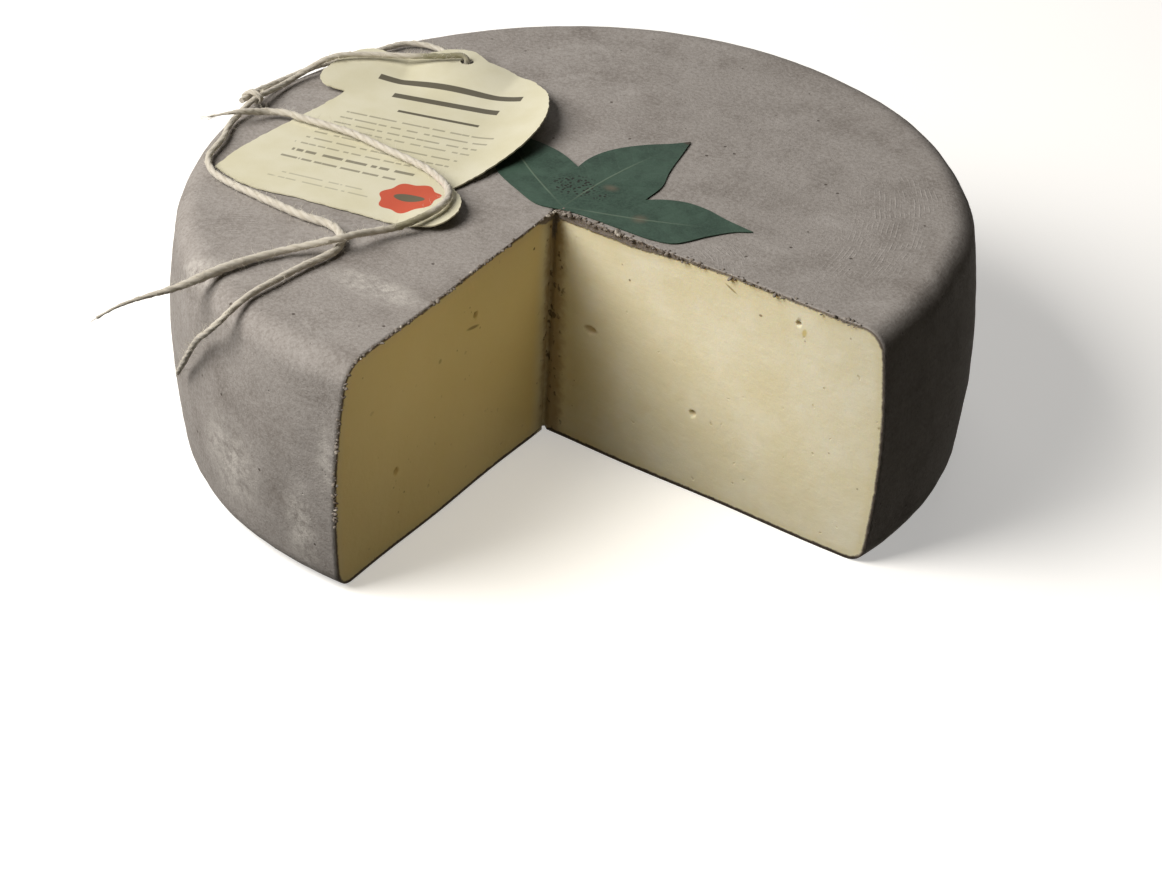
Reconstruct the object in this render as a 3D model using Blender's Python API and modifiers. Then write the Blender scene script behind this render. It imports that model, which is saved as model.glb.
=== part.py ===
"""A wheel of ash-rind truffle cheese with one wedge cut out of it.

On top lie a paper tag on its twine, a loose length of the same twine and a leaf of three lobes.
Metres, +Z up. The origin is the centre of the wheel's underside. The right cut face runs along +X
and the left one almost along -Y, so the notch opens between +X and -Y.
"""

import math
import random

import bmesh
import bpy
from mathutils import Vector
from mathutils.geometry import delaunay_2d_cdt

MM = 0.001

# Driving sizes of the wheel
WHEEL_RADIUS = 135 * MM
WHEEL_HEIGHT = 86 * MM
BELLY = 2.5 * MM
EDGE_ROUNDING = 8.9 * MM
SHOULDER = WHEEL_RADIUS - BELLY - EDGE_ROUNDING
WHEEL_STEPS = 96
ARC_STEPS = 4
SIDE_STEPS = 5
TOP_RINGS = [0, 30 * MM, 60 * MM, 90 * MM, 110 * MM]
BOTTOM_RINGS = [70 * MM, 0]

# The notch: where each cut plane stands at the wheel's axis side and at its rim, at top and bottom
APEX_TOP = Vector((1.5, -12.4, 86)) * MM
APEX_BOTTOM = Vector((-1.5, -13.6, 0)) * MM
LEFT_RIM_TOP = Vector((12.5, -135, 86)) * MM
LEFT_RIM_BOTTOM = Vector((6.5, -135, 0)) * MM
RIGHT_RIM_TOP = Vector((134, -12.4, 86)) * MM
RIGHT_RIM_BOTTOM = Vector((134, -15.5, 0)) * MM
# At the apex the cut ends in a slit; its mouth and the block's far end are shares of the way to the rim
SLIT_WIDTH = 1.6 * MM
SLIT_DEPTH = 3.0 * MM
SLIT_MOUTH = 0.0095
CUT_CELLS = 12
CUT_REACH = 2.1
CUT_SPREAD = 1.6
CUT_OVERSHOOT = 8 * MM
CUT_WAVE = 0.5 * MM

# Crumbs of torn rind along the top edges of the cuts, and eyes in the paste
CRUMB_COUNT_RIGHT = 34
CRUMB_COUNT_LEFT = 12
CRUMB_RADIUS = (0.8 * MM, 1.5 * MM)
CRUMB_SPAN = (0.03, 0.91)
CRUMB_CROWDING = 1.7
CRUMB_SINK = 1.2 * MM
CRUMB_SEED = 7
# Each eye: its share of the way from the apex to the rim, its height, its half width and half height
RIGHT_EYES = [
    (0.127, 45.7 * MM, 2.6 * MM, 1.5 * MM),
    (0.733, 77.8 * MM, 1.1 * MM, 0.9 * MM),
    (0.450, 30.0 * MM, 1.4 * MM, 1.2 * MM),
]
LEFT_EYES = [
    (0.376, 68.2 * MM, 1.3 * MM, 1.2 * MM),
    (0.456, 67.3 * MM, 2.2 * MM, 0.9 * MM),
    (0.720, 30.0 * MM, 1.5 * MM, 1.5 * MM),
]
EYE_DEPTH = 1.3 * MM

# Thin pieces on top, and the gap that touching pieces keep
REST_GAP = 0.5 * MM
TAG_THICKNESS = 0.5 * MM
TAG_CELL = 6 * MM
TAG_HOLE_RADIUS = 2.4 * MM
TAG_HOLE_SIDES = 10
TAG_HOLE = Vector((-83.4, 47.8)) * MM
LEAF_THICKNESS = 0.5 * MM
LEAF_CELL = 4.5 * MM
# Inside a thin piece no point stands nearer to its outline than this share of a cell
EDGE_MARGIN = 0.45
TWINE_DIAMETER = 2.7 * MM
TWINE_STEP = 2.5 * TWINE_DIAMETER

# The tag's outline in millimetres: smooth runs that meet at its corners
TAG_RUNS = [
    [(-108.6, 36.3), (-99, 44), (-93.5, 52), (-86, 55.6), (-78.4, 53), (-68.6, 54), (-57.6, 51.9),
     (-47.2, 45.8), (-40.4, 39), (-34, 29.5), (-30.5, 21.5), (-28.5, 10.5), (-29, 0), (-30, -9),
     (-32.4, -24)],
    [(-32.4, -24), (-27, -27.5), (-21.8, -32.7), (-18.3, -38), (-17.2, -44.2), (-19.5, -49.3),
     (-24.4, -52), (-31, -54), (-41, -55.7), (-67.7, -60.2), (-86, -63.8), (-97, -62.8),
     (-105, -60.4)],
    [(-105, -60.4), (-106.7, -47.5), (-106.8, -36.7), (-105.7, -14), (-105.5, 8)],
    [(-105.5, 8), (-113.5, 5.8), (-117.6, 8.3), (-119.2, 14), (-119.8, 21), (-119.8, 28),
     (-117.6, 33.4), (-113.6, 35.9), (-108.6, 36.3)],
]
# The tag curls up beyond a line between these two points, as the inside of a roll of this radius
CURL_START = Vector((-33, -30)) * MM
CURL_END = Vector((-75, 60)) * MM
CURL_RADIUS = 46 * MM
# Its lower right lobe stands up by itself, and the twine beneath it holds up its top edge
LOBE_CENTRE = Vector((-21, -40)) * MM
LOBE_LIFT = 2.2 * MM
LOBE_REACH = (4 * MM, 20 * MM)
RIDGE_LIFT = 3.2 * MM
RIDGE_REACH = (3.5 * MM, 27 * MM)

# The leaf's outline in millimetres: smooth runs from its base, by each lobe's tip and each notch
LEAF_RUNS = [
    [(3.1, -12.6), (-4.3, -14.4), (-15.1, -10.8), (-30.3, -3.2), (-38.8, 6.6), (-44, 20)],
    [(-44, 20), (-35, 21.6), (-26.1, 20.8), (-18.4, 18.7), (-9.2, 14.4)],
    [(-9.2, 14.4), (-9.9, 20.4), (-9, 27.6), (-5.9, 34.8), (-0.3, 42), (5.4, 47.5), (9.8, 53)],
    [(9.8, 53), (12.6, 44.5), (17.4, 29.7), (21.3, 20.3), (22.1, 9.7)],
    [(22.1, 9.7), (26.9, 13.7), (33.9, 17), (42, 17.6), (49.7, 16.3), (61.8, 15)],
    [(61.8, 15), (57, 11.1), (52.4, 4), (46.2, -7.6), (39.3, -9.9), (30.3, -10.4), (16.6, -10.7),
     (9.4, -11.3), (3.1, -12.6)],
]
# Its three midribs, each by its tip and how far it bows, all from one base
LEAF_BASE = Vector((3.5, -10.8)) * MM
LEAF_MIDRIBS = [(Vector((-44, 20)) * MM, 1.5 * MM), (Vector((9.8, 53)) * MM, 2.5 * MM),
                (Vector((61.8, 15)) * MM, -1.5 * MM)]
MIDRIB_STEPS = 16
LEAF_WAVE = 0.8 * MM
LEAF_EDGE_LIFT = 1.3 * MM
LEAF_HALF_WIDTH = 16 * MM
# The left lobe's tip lies flat under the tag, up to the first of these places along X
LEAF_UNDER_TAG = (-40 * MM, -22 * MM)

# Routes of the twine's centre line in millimetres: x, y and height above the wheel's top.
# The tag's twine starts in the knot, and its first strand runs out round the tag's left lobe
FIRST_STRAND = [
    (-125.1, -24.4, 4.0), (-125.5, -19.4, 4.2), (-126.6, -13.5, 3.4), (-127.8, -7, 2.1),
    (-128.4, -0.5, 1.2), (-127.9, 7, 0.9),
]
# then it passes under the tag to its hole
UNDER_TAG = [
    (-125.6, 15, 1.6), (-122.3, 22.5, 1.9), (-119, 30, 1.9), (-116.4, 37, 1.9), (-114.8, 43, 1.9),
    (-112, 48.8, 1.9), (-106, 52.2, 1.9), (-98.5, 52.6, 1.9), (-91, 50.4, 1.85), (-85.5, 47.5, 1.85),
]
# comes up through the hole and returns over the tag into the knot
RETURN_STRAND = [
    (-84.05, 47.75, 2.45), (-83.4, 47.8, 3.95), (-84.05, 47.75, 5.45), (-85.5, 47.2, 6.1),
    (-89.5, 43.6, 6.15), (-100.6, 35.4, 5.9), (-110.4, 28.8, 5.9), (-118.4, 20.6, 6.2),
    (-121.6, 15.2, 5.35), (-123.9, 9.6, 3.4), (-124.9, 2, 2.1), (-124.4, -5.5, 2.3),
    (-123.2, -12.8, 3.4), (-122.3, -19.4, 4.2),
]
# and ends in a tail that crosses the wheel's top and hangs down its side.
TAIL = [
    (-121.8, -25, 3.7), (-121.4, -29, 2.7), (-120.8, -33, 1.9), (-118.6, -38.5, 1.9), (-115, -45, 1.9),
    (-112.6, -51.5, 1.9), (-110.6, -57, 1.9), (-106.6, -62, 1.9), (-100.5, -65.8, 1.9), (-91, -68, 1.9),
    (-81, -69, 1.9), (-69, -70, 1.9), (-56.5, -70.4, 1.9), (-48.5, -69.4, 1.9), (-42.5, -70.6, 1.9),
    (-37.6, -74.6, 1.9), (-35, -80.2, 1.9), (-35.4, -87, 1.9), (-36.8, -96, 1.9), (-37.6, -107, 1.9),
    (-38, -117, 1.9), (-37.9, -125, 1.0), (-39.5, -131.6, -2.6), (-44.6, -132.6, -8.2),
    (-50.1, -130.2, -13.2), (-55.5, -127.6, -19.6), (-62.9, -123.8, -29.4), (-70.8, -119.1, -39.5),
]
TAG_TWINE_ROUTE = FIRST_STRAND + UNDER_TAG + RETURN_STRAND + TAIL
LOOSE_TWINE_ROUTE = [
    (-125.6, -39.7, 4.0), (-122.6, -37.4, 4.9), (-120.1, -34.6, 5.2), (-118, -31, 4.8),
    (-116.6, -27.4, 3.7), (-114, -23, 2.8), (-108.4, -20.3, 3.0), (-101, -19.4, 3.0), (-91, -18, 3.0),
    (-82, -16.9, 3.0), (-72.8, -17.5, 3.0), (-62, -18.7, 3.0), (-52.3, -19.7, 3.0),
    (-44.4, -21.5, 3.05), (-37, -24.8, 3.4), (-30.2, -29.4, 4.2), (-25.2, -35, 5.2),
    (-22.9, -41, 5.6), (-22.8, -46.6, 5.3), (-24.6, -52.4, 4.4), (-27.7, -59, 3.4), (-30.8, -66, 3.9),
    (-32.8, -72.5, 5.0), (-34.6, -77.8, 5.3), (-37.6, -82, 4.9), (-42, -86.4, 3.6), (-47.2, -92.2, 2.4),
    (-52, -101.5, 1.9), (-55, -110.8, 1.9), (-57.6, -120.5, 1.5), (-61.4, -129, 0.2), (-66, -137, -0.6),
    (-70.8, -144, -2.4), (-74.8, -150, -5.4),
]
# The knot: one turn of the twine's own end, drawn tight round both strands
KNOT_CENTRE = (-123.9 * MM, -19.6 * MM)
KNOT_LIFT = 4.2 * MM
KNOT_RADII = (5.2 * MM, 3.0 * MM)
KNOT_HEADING = math.radians(98)
KNOT_TWINE_RADIUS = 0.8 * MM
KNOT_POINTS = 20

# Colours as scene-linear values
RIND = (0.27, 0.24, 0.21, 1)
CARD = (0.72, 0.68, 0.48, 1)
LEAF = (0.05, 0.10, 0.065, 1)
HEMP = (0.62, 0.57, 0.48, 1)


def clear_scene():
    for obj in list(bpy.data.objects):
        bpy.data.objects.remove(obj, do_unlink=True)


def new_collection(name):
    collection = bpy.data.collections.new(name)
    bpy.context.scene.collection.children.link(collection)
    return collection


def new_material(name, color, roughness):
    material = bpy.data.materials.new(name)
    material.use_nodes = True
    shader = material.node_tree.nodes["Principled BSDF"]
    shader.inputs["Base Color"].default_value = color
    shader.inputs["Roughness"].default_value = roughness
    shader.inputs["Metallic"].default_value = 0
    return material


def new_object(name, data, collection, material=None):
    obj = bpy.data.objects.new(name, data)
    collection.objects.link(obj)
    if material:
        data.materials.append(material)
    return obj


def apply_modifiers(obj):
    """Turns what the modifiers make into the object's own mesh."""
    bpy.context.view_layer.update()
    graph = bpy.context.evaluated_depsgraph_get()
    mesh = bpy.data.meshes.new_from_object(obj.evaluated_get(graph))
    obj.modifiers.clear()
    obj.data = mesh


def mesh_of(name, bm):
    mesh = bpy.data.meshes.new(name)
    bm.to_mesh(mesh)
    bm.free()
    return mesh


def smooth_step(low, high, value):
    share = min(max((value - low) / (high - low), 0), 1)
    return share * share * (3 - 2 * share)


def unevenness(x, y):
    """How far the wheel's top lies above or below its plane."""
    broad = 0.4 * MM * math.sin(38 * x + 1) * math.cos(31 * y - 0.4)
    return broad + 0.2 * MM * math.sin(71 * x - 52 * y + 2)


def side_swell(angle, height):
    """How far the wheel's side stands in or out at this angle and height."""
    round_part = 0.5 * MM * math.sin(2 * angle - 1.6) + 0.35 * MM * math.sin(5 * angle + 5)
    return round_part + 0.3 * MM * math.sin(9 * angle - 40 * height)


def wheel_profile():
    """Radius and height down the outside, from the middle of the top to the middle of the underside."""
    points = [(radius, WHEEL_HEIGHT) for radius in TOP_RINGS]
    low, high = EDGE_ROUNDING, WHEEL_HEIGHT - EDGE_ROUNDING
    for step in range(ARC_STEPS + 1):
        turn = math.radians(90) * step / ARC_STEPS
        points.append((SHOULDER + EDGE_ROUNDING * math.sin(turn), high + EDGE_ROUNDING * math.cos(turn)))
    for step in range(1, SIDE_STEPS):
        share = 1 - 2 * step / SIDE_STEPS
        points.append((WHEEL_RADIUS - BELLY * share * share, high + (low - high) * step / SIDE_STEPS))
    for step in range(ARC_STEPS + 1):
        turn = math.radians(90) * step / ARC_STEPS
        points.append((SHOULDER + EDGE_ROUNDING * math.cos(turn), low - EDGE_ROUNDING * math.sin(turn)))
    return points + [(radius, 0) for radius in BOTTOM_RINGS]


def turned_wheel(collection, material):
    profile = wheel_profile()
    mesh = bpy.data.meshes.new("cheese_wheel")
    edges = [(i, i + 1) for i in range(len(profile) - 1)]
    mesh.from_pydata([(radius, 0, height) for radius, height in profile], edges, [])
    wheel = new_object("cheese_wheel", mesh, collection, material)
    screw = wheel.modifiers.new("Turn", "SCREW")
    screw.axis = "Z"
    screw.steps = screw.render_steps = WHEEL_STEPS
    screw.use_merge_vertices = True
    screw.merge_threshold = 0.00001
    apply_modifiers(wheel)
    for vertex in wheel.data.vertices:
        make_uneven(vertex)
    return wheel


def make_uneven(vertex):
    """Lifts a point of the top, and moves one of the side in or out. The underside stays flat."""
    x, y, z = vertex.co
    radius = math.hypot(x, y)
    top_share = smooth_step(WHEEL_HEIGHT - EDGE_ROUNDING, WHEEL_HEIGHT, z)
    side_share = smooth_step(SHOULDER - 4 * MM, WHEEL_RADIUS - BELLY, radius)
    side_share *= smooth_step(0, EDGE_ROUNDING, z)
    vertex.co.z += top_share * unevenness(x, y)
    if radius > 0:
        swell = side_share * side_swell(math.atan2(y, x), z)
        vertex.co.x += swell * x / radius
        vertex.co.y += swell * y / radius


def between(low, high, share):
    return low + (high - low) * share


def apex_at(height):
    return between(APEX_BOTTOM, APEX_TOP, height / WHEEL_HEIGHT)


def rim_at(height, side):
    """The cut plane's rim at a height: side 0 is the left face, and 1 the right."""
    left = between(LEFT_RIM_BOTTOM, LEFT_RIM_TOP, height / WHEEL_HEIGHT)
    right = between(RIGHT_RIM_BOTTOM, RIGHT_RIM_TOP, height / WHEEL_HEIGHT)
    return between(left, right, side)


def notch_point(along, side, height):
    """A point of the notch: along is 0 in the slit at the apex and 1 well outside the wheel."""
    apex = apex_at(height)
    reach = rim_at(height, side) - apex
    inward = (apex - rim_at(height, 0.5)).normalized()
    if along == 0:
        across = (rim_at(height, 1) - rim_at(height, 0)).normalized()
        return apex + inward * SLIT_DEPTH + across * SLIT_WIDTH * (side - 0.5)
    past_slit = max(along - 1 / CUT_CELLS, 0) * CUT_CELLS / (CUT_CELLS - 1)
    share = between(SLIT_MOUTH, CUT_REACH, past_slit**CUT_SPREAD)
    point = apex + reach * share
    if side in (0, 1):
        normal = Vector((0, 1, 0)) if side == 1 else Vector((-1, 0, 0))
        wave = math.sin(7 * share + 3 * side) * math.sin(60 * height + 5 * share)
        point += normal * CUT_WAVE * wave * min(share * 8, 1)
    return point


def add_notch_cutter(collection):
    """A block with its ends drawn together at the apex: each of its points is moved into the notch."""
    bm = bmesh.new()
    bmesh.ops.create_cube(bm, size=1)
    bmesh.ops.subdivide_edges(bm, edges=bm.edges[:], cuts=CUT_CELLS - 1, use_grid_fill=True)
    for vertex in bm.verts:
        along, side, up = (round((value + 0.5) * CUT_CELLS) / CUT_CELLS for value in vertex.co)
        height = between(-CUT_OVERSHOOT, WHEEL_HEIGHT + CUT_OVERSHOOT, up)
        vertex.co = notch_point(along, side, height)
    bmesh.ops.recalc_face_normals(bm, faces=bm.faces[:])
    cutter = new_object("notch_cutter", mesh_of("notch_cutter", bm), collection)
    cutter.hide_render = True
    cutter.display_type = "WIRE"


def add_lump(name, centre, half_sizes, turns, collection):
    """A small faceted ellipsoid."""
    bm = bmesh.new()
    bmesh.ops.create_icosphere(bm, subdivisions=1, radius=1)
    obj = new_object(name, mesh_of(name, bm), collection)
    obj.location = centre
    obj.scale = half_sizes
    obj.rotation_euler = turns
    obj.hide_render = True
    obj.display_type = "WIRE"


def face_point(side, share, height):
    return apex_at(height) + (rim_at(height, side) - apex_at(height)) * share


def add_rind_crumbs(collection):
    """Torn crumbs just under the top edges: close together near the apex of the right cut."""
    draw = random.Random(CRUMB_SEED)
    for side, count, crowding in ((1, CRUMB_COUNT_RIGHT, CRUMB_CROWDING), (0, CRUMB_COUNT_LEFT, 1)):
        for index in range(count):
            along = ((index + draw.uniform(0.2, 0.8)) / count) ** crowding
            share = between(*CRUMB_SPAN, along)
            radius = draw.uniform(*CRUMB_RADIUS) * between(1.15, 0.7, share)
            sink = CRUMB_SINK + draw.uniform(0, 0.5) * MM
            place = face_point(side, share, WHEEL_HEIGHT - sink)
            place.z += unevenness(place.x, place.y)
            half_sizes = (radius * draw.uniform(0.9, 1.3), radius, radius * draw.uniform(0.7, 0.9))
            turns = [draw.uniform(0, math.tau) for _ in range(3)]
            add_lump(f"crumb_{side}_{index}", place, half_sizes, turns, collection)


def add_eyes(collection):
    for side, eyes in ((1, RIGHT_EYES), (0, LEFT_EYES)):
        for index, (share, height, half_width, half_height) in enumerate(eyes):
            half_sizes = [half_width, half_width, half_height]
            half_sizes[side] = EYE_DEPTH
            place = face_point(side, share, height)
            add_lump(f"eye_{side}_{index}", place, half_sizes, (0, 0, 0), collection)


def join(obj, collection, operation):
    """Joins to the object, or cuts from it, all in the collection, which is emptied after."""
    boolean = obj.modifiers.new(operation.title(), "BOOLEAN")
    boolean.operand_type = "COLLECTION"
    boolean.collection = collection
    boolean.operation = operation
    boolean.solver = "EXACT"
    apply_modifiers(obj)
    for helper in list(collection.objects):
        bpy.data.objects.remove(helper, do_unlink=True)


def build_wheel(parts, cutters, material):
    wheel = turned_wheel(parts, material)
    add_notch_cutter(cutters)
    join(wheel, cutters, "DIFFERENCE")
    add_eyes(cutters)
    join(wheel, cutters, "DIFFERENCE")
    add_rind_crumbs(cutters)
    join(wheel, cutters, "UNION")


def smooth_curve(points, step):
    """Points at most a step apart along a smooth curve through the given ones."""
    points = [Vector(point) for point in points]
    ends = [points[0] * 2 - points[1]] + points + [points[-1] * 2 - points[-2]]
    found = [points[0]]
    for before, start, end, after in zip(ends, ends[1:], ends[2:], ends[3:]):
        knots = [0]
        for a, b in ((before, start), (start, end), (end, after)):
            knots.append(knots[-1] + math.sqrt((b - a).length))
        pieces = max(1, math.ceil((end - start).length / step))
        for piece in range(1, pieces + 1):
            found.append(on_spline(before, start, end, after, knots, piece / pieces))
    return found


def on_spline(before, start, end, after, knots, share):
    """A centripetal Catmull-Rom spline's point between its two middle points."""
    at = knots[1] + (knots[2] - knots[1]) * share

    def blend(a, b, low, high):
        return a * ((high - at) / (high - low)) + b * ((at - low) / (high - low))

    middle = blend(start, end, knots[1], knots[2])
    first = blend(blend(before, start, knots[0], knots[1]), middle, knots[0], knots[2])
    last = blend(middle, blend(end, after, knots[2], knots[3]), knots[1], knots[3])
    return blend(first, last, knots[1], knots[2])


def inside(x, y, outline):
    """Whether a point lies inside a closed outline."""
    crossings = 0
    for (x0, y0), (x1, y1) in zip(outline, outline[1:] + outline[:1]):
        if (y0 > y) != (y1 > y) and x < x0 + (x1 - x0) * (y - y0) / (y1 - y0):
            crossings += 1
    return crossings % 2 == 1


def outline_of(runs, cell):
    """A closed outline through smooth runs given in millimetres, each starting where the last ends."""
    outline = []
    for run in runs:
        outline += smooth_curve([(x * MM, y * MM) for x, y in run], cell)[:-1]
    return outline


def thin_sheet(name, outline, holes, cell, height_at, thickness, parts, material):
    """A sheet of even thickness inside the outline and outside the holes, with its middle at height_at."""
    points, edges = [], []
    for loop in [outline] + holes:
        first, count = len(points), len(loop)
        points += loop
        edges += [(first + i, first + (i + 1) % count) for i in range(count)]
    boundary = points[:]
    low = [min(point[axis] for point in boundary) for axis in (0, 1)]
    high = [max(point[axis] for point in boundary) for axis in (0, 1)]
    for column in range(1, math.ceil((high[0] - low[0]) / cell)):
        for row in range(1, math.ceil((high[1] - low[1]) / cell)):
            shift = 0.5 * (row % 2)
            point = Vector((low[0] + (column - shift) * cell, low[1] + row * cell))
            if min((point - other).length for other in boundary) > EDGE_MARGIN * cell:
                points.append(point)
    places, _, faces = delaunay_2d_cdt(points, edges, [], 0, 1e-7)[:3]
    bm = bmesh.new()
    verts = [bm.verts.new((x, y, height_at(x, y))) for x, y in places]
    for corners in faces:
        middle = sum((places[corner] for corner in corners), Vector((0, 0))) / len(corners)
        if inside(*middle, outline) and not any(inside(*middle, hole) for hole in holes):
            bm.faces.new([verts[corner] for corner in corners])
    bmesh.ops.delete(bm, geom=[vert for vert in bm.verts if not vert.link_faces], context="VERTS")
    sheet = new_object(name, mesh_of(name, bm), parts, material)
    solidify = sheet.modifiers.new("Thickness", "SOLIDIFY")
    solidify.thickness = thickness
    solidify.offset = 0


def distance_to_path(x, y, path):
    here = Vector((x, y))
    best = math.inf
    for start, end in zip(path, path[1:]):
        along = end - start
        share = min(max((here - start).dot(along) / along.length_squared, 0), 1)
        best = min(best, (here - start - along * share).length)
    return best


def tag_height(x, y):
    """The height of the tag's middle surface."""
    fold = (CURL_END - CURL_START).normalized()
    beyond = max((x - CURL_START.x) * fold.y - (y - CURL_START.y) * fold.x, 0)
    curl = beyond**2 / (2 * CURL_RADIUS)
    twine_below = [Vector((place[0], place[1])) * MM for place in UNDER_TAG]
    ridge = RIDGE_LIFT * (1 - smooth_step(*RIDGE_REACH, distance_to_path(x, y, twine_below)))
    off_lobe = (Vector((x, y)) - LOBE_CENTRE).length
    lobe = LOBE_LIFT * (1 - smooth_step(*LOBE_REACH, off_lobe))
    rest = WHEEL_HEIGHT + unevenness(x, y) + REST_GAP + TAG_THICKNESS / 2
    return rest + max(curl, ridge) + lobe


def build_tag(parts, material):
    hole = []
    for step in range(TAG_HOLE_SIDES):
        turn = math.tau * step / TAG_HOLE_SIDES
        hole.append(TAG_HOLE + Vector((math.cos(turn), math.sin(turn))) * TAG_HOLE_RADIUS)
    outline = outline_of(TAG_RUNS, TAG_CELL)
    thin_sheet("label_tag", outline, [hole], TAG_CELL, tag_height, TAG_THICKNESS, parts, material)


def midrib(tip, bow):
    """Points along a lobe's midrib, from the leaf's base to the lobe's tip."""
    reach = tip - LEAF_BASE
    across = Vector((-reach.y, reach.x)).normalized()
    shares = [step / MIDRIB_STEPS for step in range(MIDRIB_STEPS + 1)]
    return [LEAF_BASE + reach * share + across * bow * math.sin(math.pi * share) for share in shares]


def leaf_height(x, y):
    """The height of the leaf's middle surface: low along each midrib, with its free edges a little up."""
    nearest = min(distance_to_path(x, y, midrib(tip, bow)) for tip, bow in LEAF_MIDRIBS)
    edge = LEAF_EDGE_LIFT * smooth_step(0, LEAF_HALF_WIDTH, nearest)
    wave = LEAF_WAVE * (0.5 + 0.5 * math.sin(150 * x + 1.2) * math.cos(120 * y + 0.3))
    free = smooth_step(*LEAF_UNDER_TAG, x)
    return WHEEL_HEIGHT + unevenness(x, y) + REST_GAP + LEAF_THICKNESS / 2 + (edge + wave) * free


def build_leaf(parts, material):
    outline = outline_of(LEAF_RUNS, LEAF_CELL)
    thin_sheet("leaf", outline, [], LEAF_CELL, leaf_height, LEAF_THICKNESS, parts, material)


def tube(name, points, radius, closed, parts, material):
    curve = bpy.data.curves.new(name, "CURVE")
    curve.dimensions = "3D"
    curve.bevel_depth = radius
    curve.bevel_resolution = 2
    curve.use_fill_caps = not closed
    spline = curve.splines.new("POLY")
    spline.use_cyclic_u = closed
    spline.points.add(len(points) - 1)
    for point, place in zip(spline.points, points):
        point.co = (*place, 1)
    new_object(name, curve, parts, material)


def over_wheel(x, y, lift):
    """A point of a route, given in millimetres, as a place above the wheel's uneven top."""
    return Vector((x, y, lift)) * MM + Vector((0, 0, WHEEL_HEIGHT + unevenness(x * MM, y * MM)))


def build_twine(name, route, parts, material):
    points = smooth_curve([over_wheel(*place) for place in route], TWINE_STEP)
    tube(name, points, TWINE_DIAMETER / 2, False, parts, material)


def build_knot(parts, material):
    """One turn of twine drawn round both strands where they meet."""
    centre = Vector((*KNOT_CENTRE, WHEEL_HEIGHT + KNOT_LIFT))
    across = Vector((-math.sin(KNOT_HEADING), math.cos(KNOT_HEADING), 0))
    points = []
    for step in range(KNOT_POINTS):
        turn = math.tau * step / KNOT_POINTS
        upward = Vector((0, 0, KNOT_RADII[1] * math.sin(turn)))
        points.append(centre + across * KNOT_RADII[0] * math.cos(turn) + upward)
    tube("twine_knot", points, KNOT_TWINE_RADIUS, True, parts, material)


def main():
    clear_scene()
    parts = new_collection("truffle_cheese")
    cutters = new_collection("cutters")
    rind = new_material("ash_rind", RIND, 0.85)
    card = new_material("tag_card", CARD, 0.7)
    blade = new_material("leaf_blade", LEAF, 0.6)
    hemp = new_material("twine_fibre", HEMP, 0.9)
    build_wheel(parts, cutters, rind)
    build_tag(parts, card)
    build_leaf(parts, blade)
    build_twine("tag_twine", TAG_TWINE_ROUTE, parts, hemp)
    build_twine("loose_twine", LOOSE_TWINE_ROUTE, parts, hemp)
    build_knot(parts, hemp)


main()
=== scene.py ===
# %% [markdown]
# # An ash-rind truffle cheese, dressed in Blender
# A measured model already fixes where everything is: a thick wheel with one sector cut out, and on it
# a paper tag, two lengths of twine and a leaf. This lesson keeps those places and sizes, and makes
# what the eye needs: fine meshes and finishes for rind, paste, card, leaf and fibre. It works in
# metres with +Z up, and the origin is the centre of the wheel's underside.

# %% Load the measured model
import math
import random

import bmesh
import bpy
from mathutils import Matrix, Vector
from mathutils.geometry import delaunay_2d_cdt
from mathutils.kdtree import KDTree


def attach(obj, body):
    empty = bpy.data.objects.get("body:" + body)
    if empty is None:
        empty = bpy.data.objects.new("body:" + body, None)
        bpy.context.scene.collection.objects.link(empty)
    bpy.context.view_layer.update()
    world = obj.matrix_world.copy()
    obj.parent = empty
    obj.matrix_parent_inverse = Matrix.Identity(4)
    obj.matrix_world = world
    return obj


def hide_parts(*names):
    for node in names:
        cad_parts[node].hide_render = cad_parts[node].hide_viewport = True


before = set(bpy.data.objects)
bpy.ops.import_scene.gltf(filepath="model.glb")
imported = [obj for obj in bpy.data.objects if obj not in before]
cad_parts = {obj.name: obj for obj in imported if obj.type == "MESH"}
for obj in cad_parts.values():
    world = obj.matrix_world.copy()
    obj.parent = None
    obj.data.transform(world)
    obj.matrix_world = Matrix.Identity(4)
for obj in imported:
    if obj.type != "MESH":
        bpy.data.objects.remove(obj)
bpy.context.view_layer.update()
MM = 0.001
print("measured nodes:", ", ".join(sorted(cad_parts)))

# %% [markdown]
# ## Camera
# The photograph looks down on the wheel from its front right with a long lens. A long lens stands
# far away, so the far rim is drawn nearly as large as the near one. The camera is turned by its
# compass angle first, then tipped down, then rolled by the small amount that the picture leans.

# %% Place the camera
CAMERA_PLACE = (0.6209, -0.8325, 0.6535)
CAMERA_AZIMUTH = math.radians(36.52)
CAMERA_ELEVATION = math.radians(32.55)
CAMERA_ROLL = math.radians(0.917)
CAMERA_LENS = 110.28
SENSOR_WIDTH = 36

camera = bpy.data.objects.new("camera", bpy.data.cameras.new("camera"))
bpy.context.scene.collection.objects.link(camera)
camera.data.lens = CAMERA_LENS
camera.data.sensor_width = SENSOR_WIDTH
turn = Matrix.Rotation(CAMERA_AZIMUTH, 4, "Z")
tip = Matrix.Rotation(math.radians(90) - CAMERA_ELEVATION, 4, "X")
roll = Matrix.Rotation(CAMERA_ROLL, 4, "Z")
camera.matrix_world = Matrix.Translation(CAMERA_PLACE) @ turn @ tip @ roll
bpy.context.scene.camera = camera
print("camera", round(Vector(CAMERA_PLACE).length, 3), "m from the wheel's foot")

# %% [markdown]
# ## The wheel's driving sizes
# All the pieces lie on the wheel, so its form comes first: a disc with a slight belly, rounded
# edges, and a top that is a little uneven, as pressed curd is. These few sizes and two small
# formulas are the same as in the measured model, so whatever is laid on top touches at the same height.

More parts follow.
